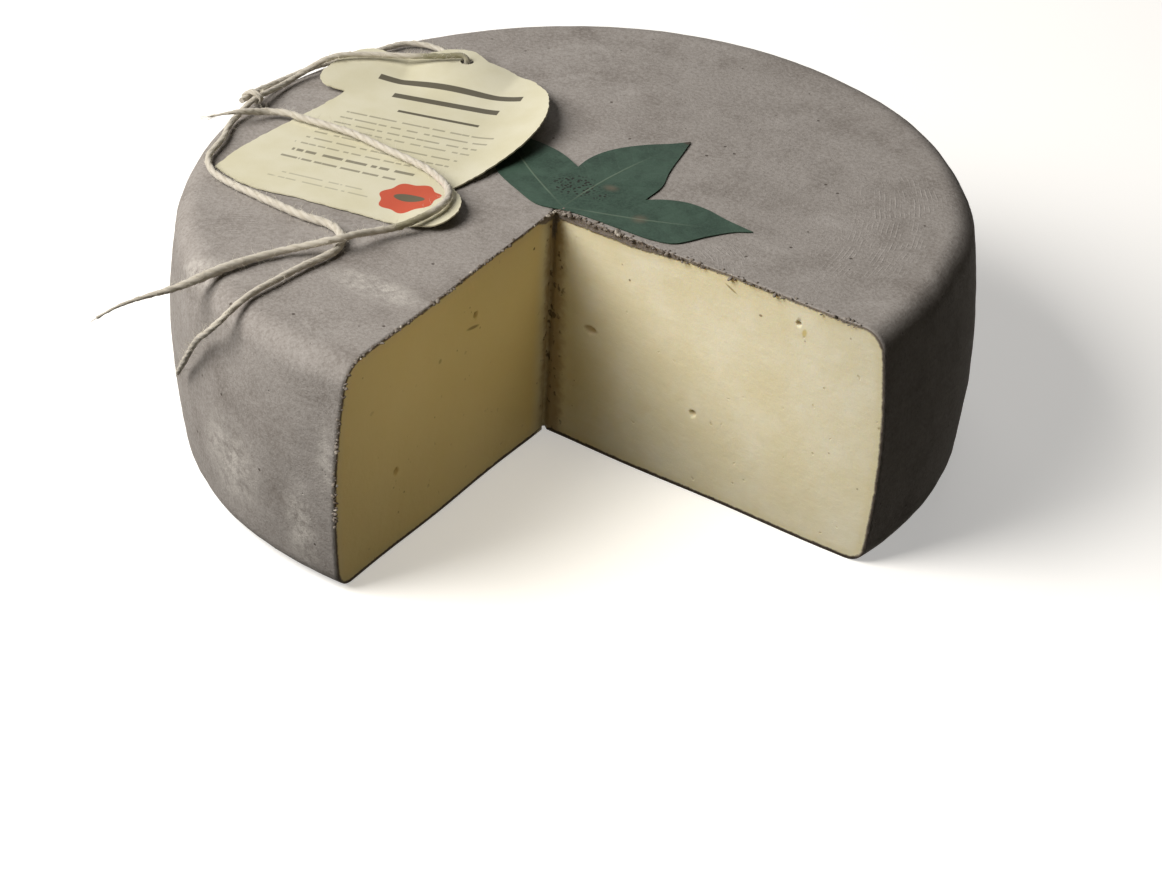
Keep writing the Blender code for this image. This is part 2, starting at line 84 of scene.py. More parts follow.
# %% Sizes and unevenness of the wheel
WHEEL_RADIUS = 135 * MM
WHEEL_HEIGHT = 86 * MM
BELLY = 2.5 * MM
EDGE_ROUNDING = 8.9 * MM
SHOULDER = WHEEL_RADIUS - BELLY - EDGE_ROUNDING


def between(low, high, share):
    return low + (high - low) * share


def smooth_step(low, high, value):
    share = min(max((value - low) / (high - low), 0), 1)
    return share * share * (3 - 2 * share)


def unevenness(x, y):
    """How far the wheel's top lies above or below its plane."""
    broad = 0.4 * MM * math.sin(38 * x + 1) * math.cos(31 * y - 0.4)
    return broad + 0.2 * MM * math.sin(71 * x - 52 * y + 2)


def side_swell(angle, height):
    """How far the wheel's side stands in or out at this angle and height."""
    round_part = 0.5 * MM * math.sin(2 * angle - 1.6) + 0.35 * MM * math.sin(5 * angle + 5)
    return round_part + 0.3 * MM * math.sin(9 * angle - 40 * height)


# %% [markdown]
# ## Routes of the twine
# A limp twine is best given as a list of places that its centre line passes, each with its
# height above the wheel's top. A centripetal Catmull-Rom spline runs through all of them without
# loops or overshoot, which is how the limp fibre itself turns.

# %% Points along the two twines
TWINE_DIAMETER = 2.7 * MM
TWINE_STEP = 0.8 * MM

# The tag's twine starts in the knot and runs out round the tag's left lobe
FIRST_STRAND = [
    (-125.1, -24.4, 4.0), (-125.5, -19.4, 4.2), (-126.6, -13.5, 3.4), (-127.8, -7, 2.1),
    (-128.4, -0.5, 1.2), (-127.9, 7, 0.9),
]
# then it passes under the tag to its hole
UNDER_TAG = [
    (-125.6, 15, 1.6), (-122.3, 22.5, 1.9), (-119, 30, 1.9), (-116.4, 37, 1.9), (-114.8, 43, 1.9),
    (-112, 48.8, 1.9), (-106, 52.2, 1.9), (-98.5, 52.6, 1.9), (-91, 50.4, 1.85), (-85.5, 47.5, 1.85),
]
# comes up through the hole and returns over the tag into the knot
RETURN_STRAND = [
    (-84.05, 47.75, 2.45), (-83.4, 47.8, 3.95), (-84.05, 47.75, 5.45), (-85.5, 47.2, 6.1),
    (-89.5, 43.6, 6.15), (-100.6, 35.4, 5.9), (-110.4, 28.8, 5.9), (-118.4, 20.6, 6.2),
    (-121.6, 15.2, 5.35), (-123.9, 9.6, 3.4), (-124.9, 2, 2.1), (-124.4, -5.5, 2.3),
    (-123.2, -12.8, 3.4), (-122.3, -19.4, 4.2),
]
# and ends in a tail that crosses the wheel's top and hangs down its side.
TAIL = [
    (-121.8, -25, 3.7), (-121.4, -29, 2.7), (-120.8, -33, 1.9), (-118.6, -38.5, 1.9), (-115, -45, 1.9),
    (-112.6, -51.5, 1.9), (-110.6, -57, 1.9), (-106.6, -62, 1.9), (-100.5, -65.8, 1.9), (-91, -68, 1.9),
    (-81, -69, 1.9), (-69, -70, 1.9), (-56.5, -70.4, 1.9), (-48.5, -69.4, 1.9), (-42.5, -70.6, 1.9),
    (-37.6, -74.6, 1.9), (-35, -80.2, 1.9), (-35.4, -87, 1.9), (-36.8, -96, 1.9), (-37.6, -107, 1.9),
    (-38, -117, 1.9), (-37.9, -125, 1.0), (-39.5, -131.6, -2.6), (-44.6, -132.6, -8.2),
    (-50.1, -130.2, -13.2), (-55.5, -127.6, -19.6), (-62.9, -123.8, -29.4), (-70.8, -119.1, -39.5),
]
TAG_TWINE_ROUTE = FIRST_STRAND + UNDER_TAG + RETURN_STRAND + TAIL
LOOSE_TWINE_ROUTE = [
    (-125.6, -39.7, 4.0), (-122.6, -37.4, 4.9), (-120.1, -34.6, 5.2), (-118, -31, 4.8),
    (-116.6, -27.4, 3.7), (-114, -23, 2.8), (-108.4, -20.3, 3.0), (-101, -19.4, 3.0), (-91, -18, 3.0),
    (-82, -16.9, 3.0), (-72.8, -17.5, 3.0), (-62, -18.7, 3.0), (-52.3, -19.7, 3.0),
    (-44.4, -21.5, 3.05), (-37, -24.8, 3.4), (-30.2, -29.4, 4.2), (-25.2, -35, 5.2),
    (-22.9, -41, 5.6), (-22.8, -46.6, 5.3), (-24.6, -52.4, 4.4), (-27.7, -59, 3.4), (-30.8, -66, 3.9),
    (-32.8, -72.5, 5.0), (-34.6, -77.8, 5.3), (-37.6, -82, 4.9), (-42, -86.4, 3.6), (-47.2, -92.2, 2.4),
    (-52, -101.5, 1.9), (-55, -110.8, 1.9), (-57.6, -120.5, 1.5), (-61.4, -129, 0.2), (-66, -137, -0.6),
    (-70.8, -144, -2.4), (-74.8, -150, -5.4),
]


def over_wheel(x, y, lift):
    """A place of a route, given in millimetres, above the wheel's uneven top."""
    return Vector((x, y, lift)) * MM + Vector((0, 0, WHEEL_HEIGHT + unevenness(x * MM, y * MM)))


def on_spline(before, start, end, after, knots, share):
    """A centripetal Catmull-Rom spline's point between its two middle points."""
    at = knots[1] + (knots[2] - knots[1]) * share

    def blend(a, b, low, high):
        return a * ((high - at) / (high - low)) + b * ((at - low) / (high - low))

    middle = blend(start, end, knots[1], knots[2])
    first = blend(blend(before, start, knots[0], knots[1]), middle, knots[0], knots[2])
    last = blend(middle, blend(end, after, knots[2], knots[3]), knots[1], knots[3])
    return blend(first, last, knots[1], knots[2])


def smooth_curve(points, step):
    """Points at most a step apart along a smooth curve through the given ones."""
    points = [Vector(point) for point in points]
    ends = [points[0] * 2 - points[1]] + points + [points[-1] * 2 - points[-2]]
    found = [points[0]]
    for before, start, end, after in zip(ends, ends[1:], ends[2:], ends[3:]):
        knots = [0]
        for a, b in ((before, start), (start, end), (end, after)):
            knots.append(knots[-1] + math.sqrt((b - a).length))
        pieces = max(1, math.ceil((end - start).length / step))
        for piece in range(1, pieces + 1):
            found.append(on_spline(before, start, end, after, knots, piece / pieces))
    return found


def length_of(points):
    return sum((b - a).length for a, b in zip(points, points[1:]))


tag_twine_path = smooth_curve([over_wheel(*place) for place in TAG_TWINE_ROUTE], TWINE_STEP)
loose_twine_path = smooth_curve([over_wheel(*place) for place in LOOSE_TWINE_ROUTE], TWINE_STEP)
print("tag twine", round(length_of(tag_twine_path), 4), "m, loose twine",
      round(length_of(loose_twine_path), 4), "m")

# %% [markdown]
# ## Writing node trees as sums
# Materials and Geometry Nodes are both trees of nodes. Adding each node by hand hides the idea behind
# it, so one small class stands for a socket and turns Python's own operators into Math nodes. One
# method on the tree adds any other kind: its settings go in first, because they decide which sockets
# there are, and then the values or links of its sockets.


# %% A socket that understands arithmetic
class Wire:
    """A node's output. Arithmetic on it adds Math nodes, or Vector Math nodes if it is a vector."""

    def __init__(self, board, socket):
        self.board = board
        self.socket = socket

    def output(self, name):
        return Wire(self.board, self.socket.node.outputs[name])

    def maths(self, operation, *values):
        kind = "ShaderNodeVectorMath" if self.socket.type == "VECTOR" else "ShaderNodeMath"
        return self.board.node(kind, {"operation": operation}, dict(enumerate((self, *values))))

    def __add__(self, other):
        return self.maths("ADD", other)

    def __sub__(self, other):
        return self.maths("SUBTRACT", other)

    def __mul__(self, other):
        is_vector = isinstance(other, Wire) and other.socket.type == "VECTOR"
        if self.socket.type == "VECTOR" and not is_vector:
            return self.board.node("ShaderNodeVectorMath", {"operation": "SCALE"}, {0: self, 3: other})
        return self.maths("MULTIPLY", other)

    def __truediv__(self, other):
        return self.maths("DIVIDE", other)

    def __rsub__(self, other):
        return self.board.node("ShaderNodeMath", {"operation": "SUBTRACT"}, {0: other, 1: self})

    def __rtruediv__(self, other):
        return self.board.node("ShaderNodeMath", {"operation": "DIVIDE"}, {0: other, 1: self})

    def __pow__(self, other):
        return self.maths("POWER", other)

    def __mod__(self, other):
        return self.maths("FLOORED_MODULO", other)

    def __abs__(self):
        return self.maths("ABSOLUTE")

    __radd__ = __add__
    __rmul__ = __mul__


class Board:
    """Adds nodes to one tree and joins their sockets."""

    def __init__(self, tree):
        self.tree = tree

    def node(self, kind, settings=None, values=None, output=0):
        new = self.tree.nodes.new(kind)
        for name, setting in (settings or {}).items():
            setattr(new, name, setting)
        for key, value in (values or {}).items():
            self.feed(new.inputs[key], value)
        return Wire(self, new.outputs[output])

    def feed(self, socket, value):
        if isinstance(value, Wire):
            self.tree.links.new(value.socket, socket)
        else:
            socket.default_value = value

    def ramp(self, low, high, value):
        """0 below the low end, 1 above the high one, and smooth between them."""
        return self.node("ShaderNodeMapRange", {"interpolation_type": "SMOOTHSTEP"},
                         {0: value, 1: low, 2: high})

    def noise(self, place, size, detail=3, roughness=0.55, distortion=0):
        """Cloudy noise from 0 to 1 whose patches are about this size in metres."""
        return self.node("ShaderNodeTexNoise", values={
            "Vector": place, "Scale": 1 / size, "Detail": detail, "Roughness": roughness,
            "Distortion": distortion})

    def mix(self, mask, first, second):
        """The first colour where the mask is 0, and the second where it is 1."""
        return self.node("ShaderNodeMix", {"data_type": "RGBA"}, {0: mask, 6: first, 7: second}, output=2)

    def axes(self, vector):
        """The three numbers that a vector is made of."""
        split = self.node("ShaderNodeSeparateXYZ", values={0: vector})
        return [split.output(axis) for axis in "XYZ"]

    def cells(self, place, size):
        """Random cells of about this size: how far off a cell's middle is, and each cell's own chance."""
        found = self.node("ShaderNodeTexVoronoi", {"feature": "F1"}, {"Vector": place, "Scale": 1 / size})
        return found.output("Distance"), self.axes(found.output("Color"))[0]


print("node trees can now be written as Python expressions")

# %% [markdown]
# ## Growing meshes with Geometry Nodes
# Whatever repeats or follows a path is grown by a Geometry Nodes tree with named inputs. A modifier
# keeps its inputs under hidden identifiers, so the helper looks each one up by its name. The result
# is then turned into a plain mesh, which needs no tree any more.


# %% A tree with named inputs, and how to run it
class Grower(Board):
    """A Geometry Nodes tree whose inputs are named sizes."""

    def __init__(self, title, **sizes):
        super().__init__(bpy.data.node_groups.new(title, "GeometryNodeTree"))
        self.identifiers = {}
        interface = self.tree.interface
        interface.new_socket("Geometry", in_out="OUTPUT", socket_type="NodeSocketGeometry")
        interface.new_socket("Geometry", in_out="INPUT", socket_type="NodeSocketGeometry")
        for name, value in sizes.items():
            kind = "NodeSocketInt" if isinstance(value, int) else "NodeSocketFloat"
            item = interface.new_socket(name, in_out="INPUT", socket_type=kind)
            item.default_value = value
            self.identifiers[name] = item.identifier
        for name in ("finish", "inner finish"):
            item = interface.new_socket(name, in_out="INPUT", socket_type="NodeSocketMaterial")
            self.identifiers[name] = item.identifier
        self.entry = self.tree.nodes.new("NodeGroupInput")

    def given(self, name):
        return Wire(self, self.entry.outputs[name])

    def store(self, geometry, name, value, kind="FLOAT", domain="POINT"):
        return self.node("GeometryNodeStoreNamedAttribute", {"data_type": kind, "domain": domain},
                         {0: geometry, 2: name, 3: value})

    def random(self, low, high, seed, kind="FLOAT"):
        first = 0 if kind == "FLOAT_VECTOR" else 2
        return self.node("FunctionNodeRandomValue", {"data_type": kind},
                         {first: low, first + 1: high, 8: seed}, output=first // 2)

    def stored(self, name):
        """A number that the mesh already keeps under this name."""
        return self.node("GeometryNodeInputNamedAttribute", {"data_type": "FLOAT"}, {0: name})

    def sweep(self, path, rim, width):
        """A tube with closed ends: the rim carried along the path and scaled by the width."""
        return self.node("GeometryNodeCurveToMesh", values={0: path, 1: rim, 2: width, 3: True})

    def raised(self, geometry, height):
        """The geometry with every point moved out along its normal."""
        normal = self.node("GeometryNodeInputNormal")
        return self.node("GeometryNodeSetPosition", values={0: geometry, 3: normal * height})

    def close(self, geometry, inner=None):
        """Ends the tree: real faces, smooth shading and the finish. A mask puts the inner finish on some."""
        real = self.node("GeometryNodeRealizeInstances", values={0: geometry})
        done = self.node("GeometryNodeSetShadeSmooth", values={0: real})
        done = self.node("GeometryNodeSetMaterial", values={0: done, 2: self.given("finish")})
        if inner:
            values = {0: done, 1: inner, 2: self.given("inner finish")}
            done = self.node("GeometryNodeSetMaterial", values=values)
        leaving = self.tree.nodes.new("NodeGroupOutput")
        self.feed(leaving.inputs[0], done)

    def grow(self, obj, finish, inner_finish=None, **sizes):
        """Runs the tree on an object and keeps the result as its plain mesh."""
        modifier = obj.modifiers.new(self.tree.name, "NODES")
        modifier.node_group = self.tree
        modifier[self.identifiers["finish"]] = finish
        modifier[self.identifiers["inner finish"]] = inner_finish
        for name, value in sizes.items():
            modifier[self.identifiers[name]] = value
        keep_result(obj)


def keep_result(obj):
    """Turns what the modifiers make into the object's own mesh."""
    bpy.context.view_layer.update()
    graph = bpy.context.evaluated_depsgraph_get()
    mesh = bpy.data.meshes.new_from_object(obj.evaluated_get(graph))
    obj.modifiers.clear()
    obj.data = mesh


def new_piece(name, points=(), edges=(), faces=()):
    mesh = bpy.data.meshes.new(name)
    mesh.from_pydata([tuple(point) for point in points], edges, faces)
    obj = bpy.data.objects.new(name, mesh)
    bpy.context.scene.collection.objects.link(obj)
    return obj


def thread(name, paths):
    """A mesh of bare edges, one chain for each path."""
    points, edges = [], []
    for path in paths:
        edges += [(len(points) + i, len(points) + i + 1) for i in range(len(path) - 1)]
        points += path
    return new_piece(name, points, edges)


def count_of(obj):
    """How many triangles a piece has."""
    return sum(len(polygon.vertices) - 2 for polygon in obj.data.polygons)


print("Geometry Nodes helpers are ready")

# %% [markdown]
# ## Finishes
# Each finish is one Principled BSDF. What changes over the surface feeds only its colour, roughness
# and normal. What is the same everywhere is set on the shader's own socket.


# %% A new finish, and layers of colour on it
class Finish(Board):
    """A material with one Principled shader."""

    def __init__(self, name, **plain):
        self.material = bpy.data.materials.new(name)
        self.material.use_nodes = True
        super().__init__(self.material.node_tree)
        self.shader = self.tree.nodes["Principled BSDF"]
        for socket, value in plain.items():
            self.shader.inputs[socket.replace("_", " ")].default_value = value
        self.place = self.node("ShaderNodeTexCoord").output("Object")

    def layers(self, tint, *layers):
        """Lays colours over a tint. Each comes as the mask of where it shows, its strength and itself."""
        for mask, strength, shade in layers:
            tint = self.mix(mask * strength, tint, shade)
        return tint

    def attribute(self, name, output="Fac"):
        return self.node("ShaderNodeAttribute", {"attribute_name": name}, output=output)

    def stretched(self, sizes):
        """Object coordinates divided by a size for each axis."""
        return self.node("ShaderNodeMapping", {"vector_type": "POINT"},
                         {0: self.place, 3: tuple(1 / size for size in sizes)})

    def spot(self, centre, half_sizes, turn=(0, 0, 0), core=0.4):
        """1 in the core of an ellipsoid, given in millimetres and degrees, and 0 outside it."""
        turned = tuple(math.radians(angle) for angle in turn)
        local = self.node("ShaderNodeMapping", {"vector_type": "TEXTURE"}, {
            0: self.place, 1: Vector(centre) * MM, 2: turned, 3: Vector(half_sizes) * MM})
        return self.ramp(1, core, local.maths("LENGTH").output("Value"))

    def show(self, colour, roughness, relief, depth):
        """Feeds the shader. The relief is in shares of the depth, which is in metres."""
        self.feed(self.shader.inputs["Base Color"], colour)
        self.feed(self.shader.inputs["Roughness"], roughness)
        bump = self.node("ShaderNodeBump", values={"Strength": 1, "Distance": depth, "Height": relief})
        self.feed(self.shader.inputs["Normal"], bump)
        return self.material


def colour(red, green, blue):
    """A display colour from 0 to 255 as the scene's linear light."""
    def linear(value):
        share = value / 255
        return share / 12.92 if share <= 0.04045 else ((share + 0.055) / 1.055) ** 2.4
    return (linear(red), linear(green), linear(blue), 1)


print("one display grey of 128 is", round(colour(128, 128, 128)[0], 3), "in linear light")

# %% [markdown]
# ## Twine
# The real twine is loosely twisted from three plies of off-white hemp, so it shows slanting grooves,
# uneven thickness and a fur of loose fibres. A round tube would look like cable. The tree below
# sweeps a profile of three lobes along the route and tilts it as it goes, which lays the plies round
# each other. It also keeps, on every point, how far along the twine it is and where round it.

# %% The finish of hemp fibre
HEMP_PALE = colour(209, 203, 191)
# Darker hemp, used both for darker fibres and for painted shade between the plies
HEMP_DARK_FIBRE_AND_PLY_SHADE = colour(176, 167, 148)
HEMP_PATCH = colour(204, 197, 184)
HEMP_DARK_SPOT = colour(128, 124, 92)
# How often the fibres' noise changes round the twine, and along it in a metre
FIBRES_ROUND = 4
FIBRES_ALONG = 260


def hemp_finish(name, dark_spot):
    """One twine's finish; the dark spot is given as the middle and the half sizes of a darker patch."""
    finish = Finish(name, Specular_IOR_Level=0.2, Sheen_Weight=0.25, Sheen_Roughness=0.5)
    ring = finish.attribute("ring", "Vector")
    along = finish.attribute("along") * FIBRES_ALONG
    groove = finish.attribute("lobe")
    fibre_place = ring * FIBRES_ROUND + finish.node("ShaderNodeCombineXYZ", values={2: along})
    fibres = finish.noise(fibre_place, 1, detail=4, roughness=0.65)
    patches = finish.noise(finish.place, 9 * MM, detail=2)
    # The fibres' noise darkens the hemp at random, its own colour; the darkening in the valleys between the
    # plies is painted shade
    shade = finish.ramp(0.75, 0.2, fibres) * 0.4 + finish.ramp(1.0, 0.88, groove) * 0.4
    tint = finish.layers(
        finish.mix(shade, HEMP_PALE, HEMP_DARK_FIBRE_AND_PLY_SHADE),
        (finish.ramp(0.5, 0.75, patches), 0.4, HEMP_PATCH),
        (finish.spot(*dark_spot), 0.8, HEMP_DARK_SPOT))
    return finish.show(tint, 0.85, fibres, 0.2 * MM)


# The tag's twine is darker in a patch beside its hole, where it crosses over the tag
hemp = hemp_finish("hemp_fibre", dark_spot=((-90, 43, 92), (14, 11, 6)))
stained_hemp = hemp_finish("hemp_fibre_stained", dark_spot=((-25, -54, 90), (9, 11, 9)))
print("made", hemp.name, "and", stained_hemp.name)

# %% Sweep twisted plies along a route
PLY_COUNT = 3
PLY_TURN = 15 * MM
PLY_GROOVE = 0.11
POINTS_PER_PLY = 8
# The thickness wanders up from its thinnest share of the diameter, this often in a metre
THINNEST = 0.78
WANDER = 0.3
WANDERS_ALONG = 90
SEED_STRIDE = 7.3
ROUGH_SIZE = 1.1 * MM
ROUGH_DEPTH = 0.5 * MM

twister = Grower("Twisted twine", diameter=TWINE_DIAMETER, turn_length=PLY_TURN, plies=PLY_COUNT,
                 groove=PLY_GROOVE, step=0.7 * MM, taper=30 * MM, end_share=1.0, head=1 * MM,
                 head_share=1.0, swell_at=0.0, swell_reach=13 * MM, swell=0.0, seed=1)


def build_twister(tree):
    path = tree.node("GeometryNodeMeshToCurve", values={0: tree.given("Geometry")})
    path = tree.node("GeometryNodeResampleCurve", {"mode": "LENGTH"}, {0: path, 3: tree.given("step")})
    along = tree.node("GeometryNodeSplineParameter").output("Length")
    whole = tree.node("GeometryNodeSplineLength")
    tilt = along / tree.given("turn_length") * math.tau
    path = tree.node("GeometryNodeSetCurveTilt", values={0: path, 2: tilt})
    path = tree.store(path, "along", along)
    # Thickness: a slow wander, one swelling and a taper towards each end
    wander = tree.node("ShaderNodeTexNoise", {"noise_dimensions": "1D"},
                       {"W": along * WANDERS_ALONG + tree.given("seed") * SEED_STRIDE, "Detail": 2})
    off_swelling = (along - tree.given("swell_at")) / tree.given("swell_reach")
    swelling = tree.node("ShaderNodeMath", {"operation": "EXPONENT"},
                         {0: off_swelling * off_swelling * -1}) * tree.given("swell")
    thickness = THINNEST + wander * WANDER + swelling
    for reach, share, left in (("taper", "end_share", whole - along), ("head", "head_share", along)):
        thinning = tree.ramp(0, tree.given(reach), left)
        thickness = thickness * (tree.given(share) + thinning * (1 - tree.given(share)))
    # Profile: a circle drawn in between its plies
    circle = tree.node("GeometryNodeCurvePrimitiveCircle",
                       values={0: tree.given("plies") * POINTS_PER_PLY, 4: tree.given("diameter") * 0.5})
    around = tree.node("GeometryNodeSplineParameter")
    lobe = 1 - tree.given("groove") * (1 - abs((around * tree.given("plies") * math.pi).maths("COSINE")))
    place = tree.node("GeometryNodeInputPosition")
    circle = tree.store(circle, "ring", place * (2 / TWINE_DIAMETER), "FLOAT_VECTOR")
    circle = tree.store(circle, "lobe", lobe)
    circle = tree.node("GeometryNodeSetPosition", values={0: circle, 2: place * lobe})
    tube = tree.sweep(path, circle, thickness)
    # Loose fibres make every ply a little rough
    rough = tree.noise(tree.node("GeometryNodeInputPosition"), ROUGH_SIZE, detail=2) - 0.5
    tree.close(tree.raised(tube, rough * ROUGH_DEPTH))


build_twister(twister)
tag_twine = thread("tag_twine_strands", [tag_twine_path])
twister.grow(tag_twine, hemp, diameter=2.25 * MM, seed=1, end_share=0.75, taper=12 * MM, swell=0.34,
             swell_at=length_of(tag_twine_path) - 130 * MM, swell_reach=46 * MM)
loose_twine = thread("loose_twine_strands", [loose_twine_path])
twister.grow(loose_twine, stained_hemp, seed=5, end_share=0.33, taper=36 * MM, head=16 * MM,
             head_share=0.22, swell=0.3, swell_at=length_of(loose_twine_path) - 42 * MM)
print("tag twine", count_of(tag_twine), "triangles, loose twine", count_of(loose_twine))

# %% [markdown]
# ## Loose fibres
# Hemp is never clean: fine hairs stand off it all along, and its cut ends fray. Each hair is one thin
# bent strand of a few faces. Geometry Nodes scatters copies of it over the twine, every one turned
# and sized at random from a fixed seed. The frayed ends are drawn as chains of points by a seeded
# rule, and swept thin.

# %% Scatter hairs over a twine
HAIR_RADIUS = 0.035 * MM
HAIR_POINTS = 5
HAIR_SIDES = 3
HAIR_LEAN = 0.75
FUZZ_GREY = colour(214, 206, 188)
FUZZ_PALE = colour(236, 230, 214)

fuzz = Finish("hemp_fuzz", Specular_IOR_Level=0.2, Sheen_Weight=0.3)
fuzz_patches = fuzz.noise(fuzz.place, 6 * MM)
hemp_fuzz = fuzz.show(fuzz.mix(fuzz_patches, FUZZ_GREY, FUZZ_PALE), 0.9, fuzz_patches, 0.02 * MM)

furrier = Grower("Hairs on twine", density=400000.0, shortest=0.8 * MM, longest=3.0 * MM, seed=3)


def build_furrier(tree):
    line = tree.node("GeometryNodeCurvePrimitiveLine", values={1: (0, 0, 1)})
    line = tree.node("GeometryNodeResampleCurve", {"mode": "COUNT"}, {0: line, 2: HAIR_POINTS})
    share = tree.node("GeometryNodeSplineParameter")
    square = share * share
    bend = tree.node("ShaderNodeCombineXYZ", values={0: square * 0.7, 1: square * share * -0.3})
    line = tree.node("GeometryNodeSetPosition", values={0: line, 3: bend})
    rim = tree.node("GeometryNodeCurvePrimitiveCircle", values={0: HAIR_SIDES, 4: HAIR_RADIUS / (2 * MM)})
    hair = tree.sweep(line, rim, 1.15 - share)
    spots = tree.node("GeometryNodeDistributePointsOnFaces", values={
        0: tree.given("Geometry"), 4: tree.given("density"), 6: tree.given("seed")})
    scatter = tree.random((-1, -1, -1), (1, 1, 1), 11, "FLOAT_VECTOR")
    lean = spots.output("Normal") * HAIR_LEAN + scatter
    stand = tree.node("FunctionNodeAlignRotationToVector", {"axis": "Z"}, {2: lean})
    spin = tree.node("ShaderNodeCombineXYZ", values={2: tree.random(0.0, math.tau, 12)})
    spin = tree.node("FunctionNodeEulerToRotation", values={0: spin})
    stand = tree.node("FunctionNodeRotateRotation", {"rotation_space": "LOCAL"}, {0: stand, 1: spin})
    size = tree.random(tree.given("shortest"), tree.given("longest"), 13)
    hairs = tree.node("GeometryNodeInstanceOnPoints", values={0: spots, 2: hair, 5: stand, 6: size})
    tree.close(hairs)


build_furrier(furrier)


def fur_of(twine, name, seed):
    """A piece of its own with the hairs that grow on this twine."""
    fur = bpy.data.objects.new(name, twine.data)
    bpy.context.scene.collection.objects.link(fur)
    furrier.grow(fur, hemp_fuzz, seed=seed)
    return fur


tag_twine_fur = fur_of(tag_twine, "tag_twine_hairs", 3)
loose_twine_fur = fur_of(loose_twine, "loose_twine_hairs", 8)
print("hairs:", count_of(tag_twine_fur) + count_of(loose_twine_fur), "triangles")

# %% Fray the ends
FRAY_STEPS = 8
FIBRE_SIDES = 5

fibre_sweeper = Grower("Thin fibres", radius=0.07 * MM, tip_share=0.3)


def build_fibre_sweeper(tree):
    path = tree.node("GeometryNodeMeshToCurve", values={0: tree.given("Geometry")})
    share = tree.node("GeometryNodeSplineParameter")
    rim = tree.node("GeometryNodeCurvePrimitiveCircle", values={0: FIBRE_SIDES, 4: tree.given("radius")})
    width = 1 - share * (1 - tree.given("tip_share"))
    tree.close(tree.sweep(path, rim, width))


build_fibre_sweeper(fibre_sweeper)


def frayed_end(name, path, count, reach, spread, droop, seed):
    """Fibres that leave the end of a path, each a chain of points that wanders off its line."""
    draw = random.Random(seed)
    tip, ahead = path[-1], (path[-1] - path[-8]).normalized()
    chains = []
    for _ in range(count):
        length = reach * draw.uniform(0.35, 1)
        aside = Vector([draw.uniform(-1, 1) for _ in "xyz"]) * spread
        start = tip - ahead * 2 * MM + aside.normalized() * draw.uniform(0, 0.7) * MM
        bend = Vector([draw.uniform(-1, 1) for _ in "xyz"]) * spread
        chain = []
        for step in range(FRAY_STEPS + 1):
            share = step / FRAY_STEPS
            sag = Vector((0, 0, -droop * share * share))
            chain.append(start + (ahead * share + aside * share + bend * share * share + sag) * length)
        chains.append(chain)
    fibres = thread(name, chains)
    fibre_sweeper.grow(fibres, hemp_fuzz)
    return fibres


loose_end = frayed_end("loose_twine_frayed_end", loose_twine_path,
                       count=9, reach=7 * MM, spread=0.1, droop=0.15, seed=21)
loose_start = frayed_end("loose_twine_frayed_start", loose_twine_path[::-1],
                         count=18, reach=7 * MM, spread=0.12, droop=0.1, seed=22)
tail_end = frayed_end("tag_twine_frayed_end", tag_twine_path,
                      count=14, reach=5 * MM, spread=0.2, droop=0.3, seed=23)
print("frayed ends:", sum(count_of(end) for end in (loose_end, loose_start, tail_end)), "triangles")

# %% [markdown]
# ## The knot
# A thinner end of the twine is wound twice round both strands where they meet and drawn tight, and
# its short tip frays out. It is a coil, so a loop works out its points: round the strands' heading,
# with each turn laid beside the last.

# %% Wind the knot
KNOT_CENTRE = (-123.9 * MM, -19.6 * MM)
KNOT_LIFT = 4.2 * MM
KNOT_HALF_SIZES = (3.2 * MM, 1.9 * MM)
KNOT_HEADING = math.radians(98)
KNOT_TURNS = 2.2
STEPS_PER_TURN = 20
KNOT_PITCH = 1.2 * MM
KNOT_TWINE = 1.3 * MM
# The tip's places, in millimetres from the knot's middle
KNOT_TIP = [(1.5, 1, 1), (2.6, 1.6, 2.4), (3, 2.6, 3.4)]

knot_middle = Vector((*KNOT_CENTRE, WHEEL_HEIGHT + KNOT_LIFT))


def knot_path():
    ahead = Vector((math.cos(KNOT_HEADING), math.sin(KNOT_HEADING), 0))
    across = Vector((-ahead.y, ahead.x, 0))
    up = Vector((0, 0, 1))
    steps = round(KNOT_TURNS * STEPS_PER_TURN)
    coil = []
    for step in range(steps + 1):
        turns = KNOT_TURNS * step / steps
        round_strands = (across * KNOT_HALF_SIZES[0] * math.cos(math.tau * turns)
                         + up * KNOT_HALF_SIZES[1] * math.sin(math.tau * turns))
        coil.append(knot_middle + round_strands + ahead * KNOT_PITCH * (turns - KNOT_TURNS / 2))
    return coil


knot = thread("knot_turns", [smooth_curve(knot_path(), 0.5 * MM)])
twister.grow(knot, hemp, diameter=KNOT_TWINE, turn_length=7 * MM, step=0.4 * MM, seed=9,
             end_share=0.5, taper=4 * MM)
knot_tip_path = smooth_curve([knot_middle + Vector(place) * MM for place in KNOT_TIP], 0.3 * MM)
knot_tips = frayed_end("knot_frayed_tips", knot_tip_path,
                       count=9, reach=3.4 * MM, spread=0.4, droop=0.1, seed=31)
print("knot", count_of(knot), "triangles")

# %% [markdown]
# ## Attaching the twines
# Each dressed piece rides a body of the measured model, and the main pieces replace the plain tubes,
# which are hidden. The hairs, the frayed ends and the knot ride the same body, because they go where
# their twine goes.

for piece in (tag_twine, tag_twine_fur, tail_end, loose_twine, loose_twine_fur, loose_end, loose_start,
              knot, knot_tips):
    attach(piece, "root")
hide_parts("tag_twine")
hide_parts("loose_twine")
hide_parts("twine_knot")

# %% [markdown]
# ## Light
# The photograph has one large soft light, high on the left and a little in front, and nearly none
# from the right, where the rind falls into deep brown shade. How the shadow of the left half falls
# on the right cut face gives its height and size: the shadow's edge runs down steeply and is wide.
# A weak lamp from behind keeps the wheel's back readable, and a pale floor lies under everything.
# The two pale cut faces throw warm light on each other, which a tiny lamp in the notch strengthens.

